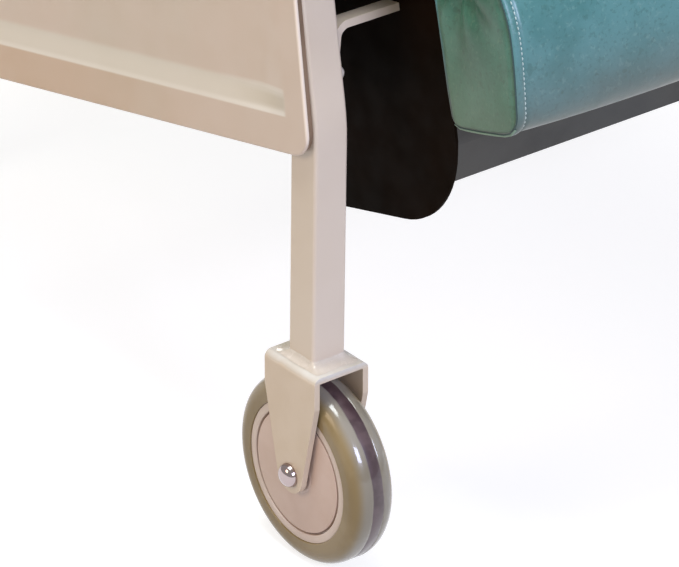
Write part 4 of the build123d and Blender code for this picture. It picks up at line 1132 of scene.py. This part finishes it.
def cushion(name, **facts):
    """A cushion's facts in metres: sides are numbered as its section gives them, channel_places
    are along its rings, and a seam is the (u, v) of a sewn channel."""
    usual = dict(
        half=HALF, flat_side=0, channel_places=(), give=0.022, pressure=4.0, gather=None,
        finishes=("teal_vinyl", "vinyl_end"), stitched_sides=(1, 2, 3), welted_sides=(), seams={},
    )
    return SimpleNamespace(name=name, **(usual | facts))


legrest = cushion(
    "legrest", body="leg_rest", half=LEGREST_HALF, section=legrest_section, flat_side=3,
    at=placed(-0.074, 0.521, 270 - 15.5), give=0.008, pressure=3.0, fill=0.8,
    gather=(0.1, 0.008, 0.032), finishes=("vinyl_low", "vinyl_end_low"),
    stitched_sides=(0, 1, 2), welted_sides=(2,), seams={"channel_seam": (0.09, -0.017)},
)
seat = cushion(
    "seat", body="frame", section=seat_section, at=placed(SEAT_Y, SEAT_Z, -BODY_TILT), fill=0.75
)
upper_channel = BACK_REAR + BACK_HEAD + BACK_ROLLS[0]
back = cushion(
    "back", body="back", section=back_section, at=placed(BACK_PIVOT, 0.44, 90 - 19.4), fill=0.7,
    channel_places=(upper_channel, upper_channel + BACK_ROLLS[1]),
    seams={"channel_seam_1": (0.515, 0.017), "channel_seam_2": (0.26, 0.017)},
)


# ---- stitches, seams and board margins
def skin_tree(obj):
    """A tree of the object's faces, to find the nearest place on them."""
    corners = [v.co.copy() for v in obj.data.vertices]
    return BVHTree.FromPolygons(corners, [tuple(p.vertices) for p in obj.data.polygons])


def end_path(pad, side, reach, sides):
    """Places along the cushion's outline, over these sides, at this reach from one of its ends."""
    x = side * (pad.half - reach)
    path = []
    for which in sides:
        path += [pad.at(x, p.x, p.y) for p in pad.section(x)[which]][1 if path else 0 :]
    return path


def on_surface(tree, path, lift):
    """The path's points brought to the surface, and lifted off it."""
    found = [tree.find_nearest(spot) for spot in path]
    return [place + normal * lift for place, normal, _, _ in found]


def stitches(name, tree, path, body):
    """Pale stitches laid on a cushion along a path."""
    pitch, half_width, height = 0.0031, 0.00068, 0.00045
    outline = ((0.0, 0.25), (0.18, 0.8), (0.5, 1.0), (0.82, 0.8), (1.0, 0.25))  # along, width
    length = sum((b - a).length for a, b in zip(path, path[1:]))
    count = round(length / pitch)
    line = resample(path, count * 2)
    verts, faces = [], []
    for start, end in zip(line[0:-1:2], line[1::2]):
        a, normal, _, _ = tree.find_nearest(start)
        b, _, _, _ = tree.find_nearest(start.lerp(end, 1.5))
        way = b - a
        across = normal.cross(way).normalized() * half_width
        lift = normal * height
        first = len(verts)
        for s, wide in outline:
            spot = a + way * s
            rise = lift * (0.15 + 1.1 * sin(pi * s))
            foot = lift * 0.4
            verts += [spot - across * wide - foot, spot + rise * 1.15, spot + across * wide - foot]
        for s in range(first, first + 3 * (len(outline) - 1), 3):
            faces += [(e, e + 1, e + 4, e + 3) for e in (s, s + 1)]
    piece(name, verts, faces, "thread", body)


def make_cushions():
    trees = [(pad, skin_tree(sewn(pad))) for pad in (legrest, seat, back)]
    for pad, tree in trees:
        for mark, side in SIDES:
            path = end_path(pad, side, STITCH_REACH, pad.stitched_sides)
            stitches(f"{pad.name}_{mark}_stitches", tree, path, pad.body)
            for part, slot, sides, reach, lift, radius, around in (
                # the seam's dark tube is painted shade in the seam's groove
                ("seam", "seam_shade", pad.stitched_sides, 0.0001, 0.0001, 0.00055, 6),
                ("welt", "welt", pad.welted_sides, 0.0014, 0.0002, 0.0008, 8),
            ):
                if sides:
                    path = on_surface(tree, end_path(pad, side, reach, sides), lift)
                    tube(f"{pad.name}_{mark}_{part}", path, radius, slot, pad.body, around)
    for pad, tree in trees:
        half = pad.half - 0.013
        for seam, (u, v) in pad.seams.items():
            path = [pad.at(-half + 2 * half * k / 60, u, v) for k in range(61)]
            path = on_surface(tree, path, 0.0002)
            # a dark tube along the sewn channel: painted shade
            tube(f"{pad.name}_{seam}", path, 0.0007, "seam_shade", pad.body, 6)


def staples(name, w, h, place, body):
    """Staples along a rectangle's edges; place turns a flat spot and a rise into a place."""
    pitch, wire = 38, 0.45
    shape = [(-5, 0.3), (-4.8, 1.5), (-4.2, 1.75), (4.2, 1.75), (4.8, 1.5), (5, 0.3)]
    corners = [Vector(corner) for corner in box_outline(w, h)]
    verts, faces = [], []
    for start, end in zip(corners, corners[1:] + corners[:1]):
        way = (end - start).normalized()
        aside = Vector((-way.y, way.x))
        count = round((end - start).length / pitch)
        for k in range(count):
            spot = start.lerp(end, (k + 0.5) / count) + aside * 1.2 * sin(k * 2.3)
            tilt = way + aside * 0.16 * sin(k * 1.9 + 0.7)
            first = len(verts)
            for along, rise in shape:
                for turn in range(6):
                    angle = pi * turn / 3
                    round_wire = Vector((-tilt.y, tilt.x)) * wire * cos(angle)
                    flat = spot + tilt * along + round_wire
                    verts.append(place(flat, rise + 0.3 * sin(angle)))
            faces += [tuple(first + c for c in f) for f in rings_faces(len(shape), 6)]
    piece(name, verts, faces, "zinc_steel", body)


def margin(name, pad, half, reach, face, out):
    """Vinyl folded over a board's edge and stapled down, in millimetres: the board's half
    width, its reach along u, its face's v, and the way along v that the face looks."""
    corner_round, pitch, staple_inset = 12.2, 12, 17.5
    middle, half_long = (reach[0] + reach[1]) / 2, (reach[1] - reach[0]) / 2
    strip = [  # inset from the board's edge, rise from its face
        (-0.8, -11.0), (-0.8, -0.6), (-0.5, 0.5), (0.3, 1.1), (6.0, 1.25), (13.0, 0.95),
        (20.0, 1.2), (23.2, 1.0), (23.8, 0.5), (23.9, 0.05), (20.0, 0.1), (0.4, 0.1), (0.1, -11.0),
    ]

    def place(flat, rise):
        return pad.at(flat.x * MM, (middle + flat.y) * MM, (face + out * rise) * MM)

    verts, size = [], 0
    for inset, rise in strip:
        w, h = half - inset, half_long - inset
        corners = rounded(box_outline(w, h), [max(1.0, corner_round - inset)] * 4, 8)
        outline = filled(corners, pitch)
        size = size or len(outline)
        for k, spot in enumerate(resample(outline + outline[:1], size)[:-1]):
            wave = 0.5 * sin(k * 1.7) * ease(inset, 12, 23) if rise > 0.4 else 0.0
            verts.append(place(spot * (1 - wave * 1.6 / max(w, h)), rise + 0.25 * wave))
    piece(name, verts, rings_faces(len(strip), size, "joined"), "teal_vinyl", pad.body)
    w, h = half - staple_inset, half_long - staple_inset
    staples(f"{name}_staples", w, h, place, pad.body)


# ---- scene
make_camera()
make_floor()
make_world()
make_lights()
reshaped("cover_bracket_bars", "cover_brackets", hung)
reshaped("cover_end_plates", "cover_cheeks", wide_corner)
reshaped("cover_sheet", "front_cover", tucked)
for mark, side in SIDES:
    wheel(f"{mark}_front", f"{mark}_front_wheel", side * WHEEL_X, AXLE_Y)
    wheel(f"{mark}_rear", f"{mark}_rear_wheel", side * WHEEL_X, AXLE_Y + REAR_WHEEL)
    panel(f"{mark}_side_panel", side)
    bracket_weld(f"{mark}_bracket_weld", side)
    arm_pad(f"{mark}_arm_pad", side)
    for inner in (-1, 1):
        cap_nut(f"{mark}_axle_cap_{'outer' if inner == side else 'inner'}", side, inner)
    fork_weld(f"{mark}_fork_weld", side, seed=3 if side < 0 else 5)
make_cushions()
margin("back_margin", back, 255, (25, 770), -72, -1)
margin("seat_margin", seat, 259, (6, 472), -12, -1)
for mark, _ in SIDES:
    soften_edges(f"{mark}_front_fork")
scene.view_settings.view_transform = "Standard"

sizes = [[list(corner) for corner in box] for box in (cad_box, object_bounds())]
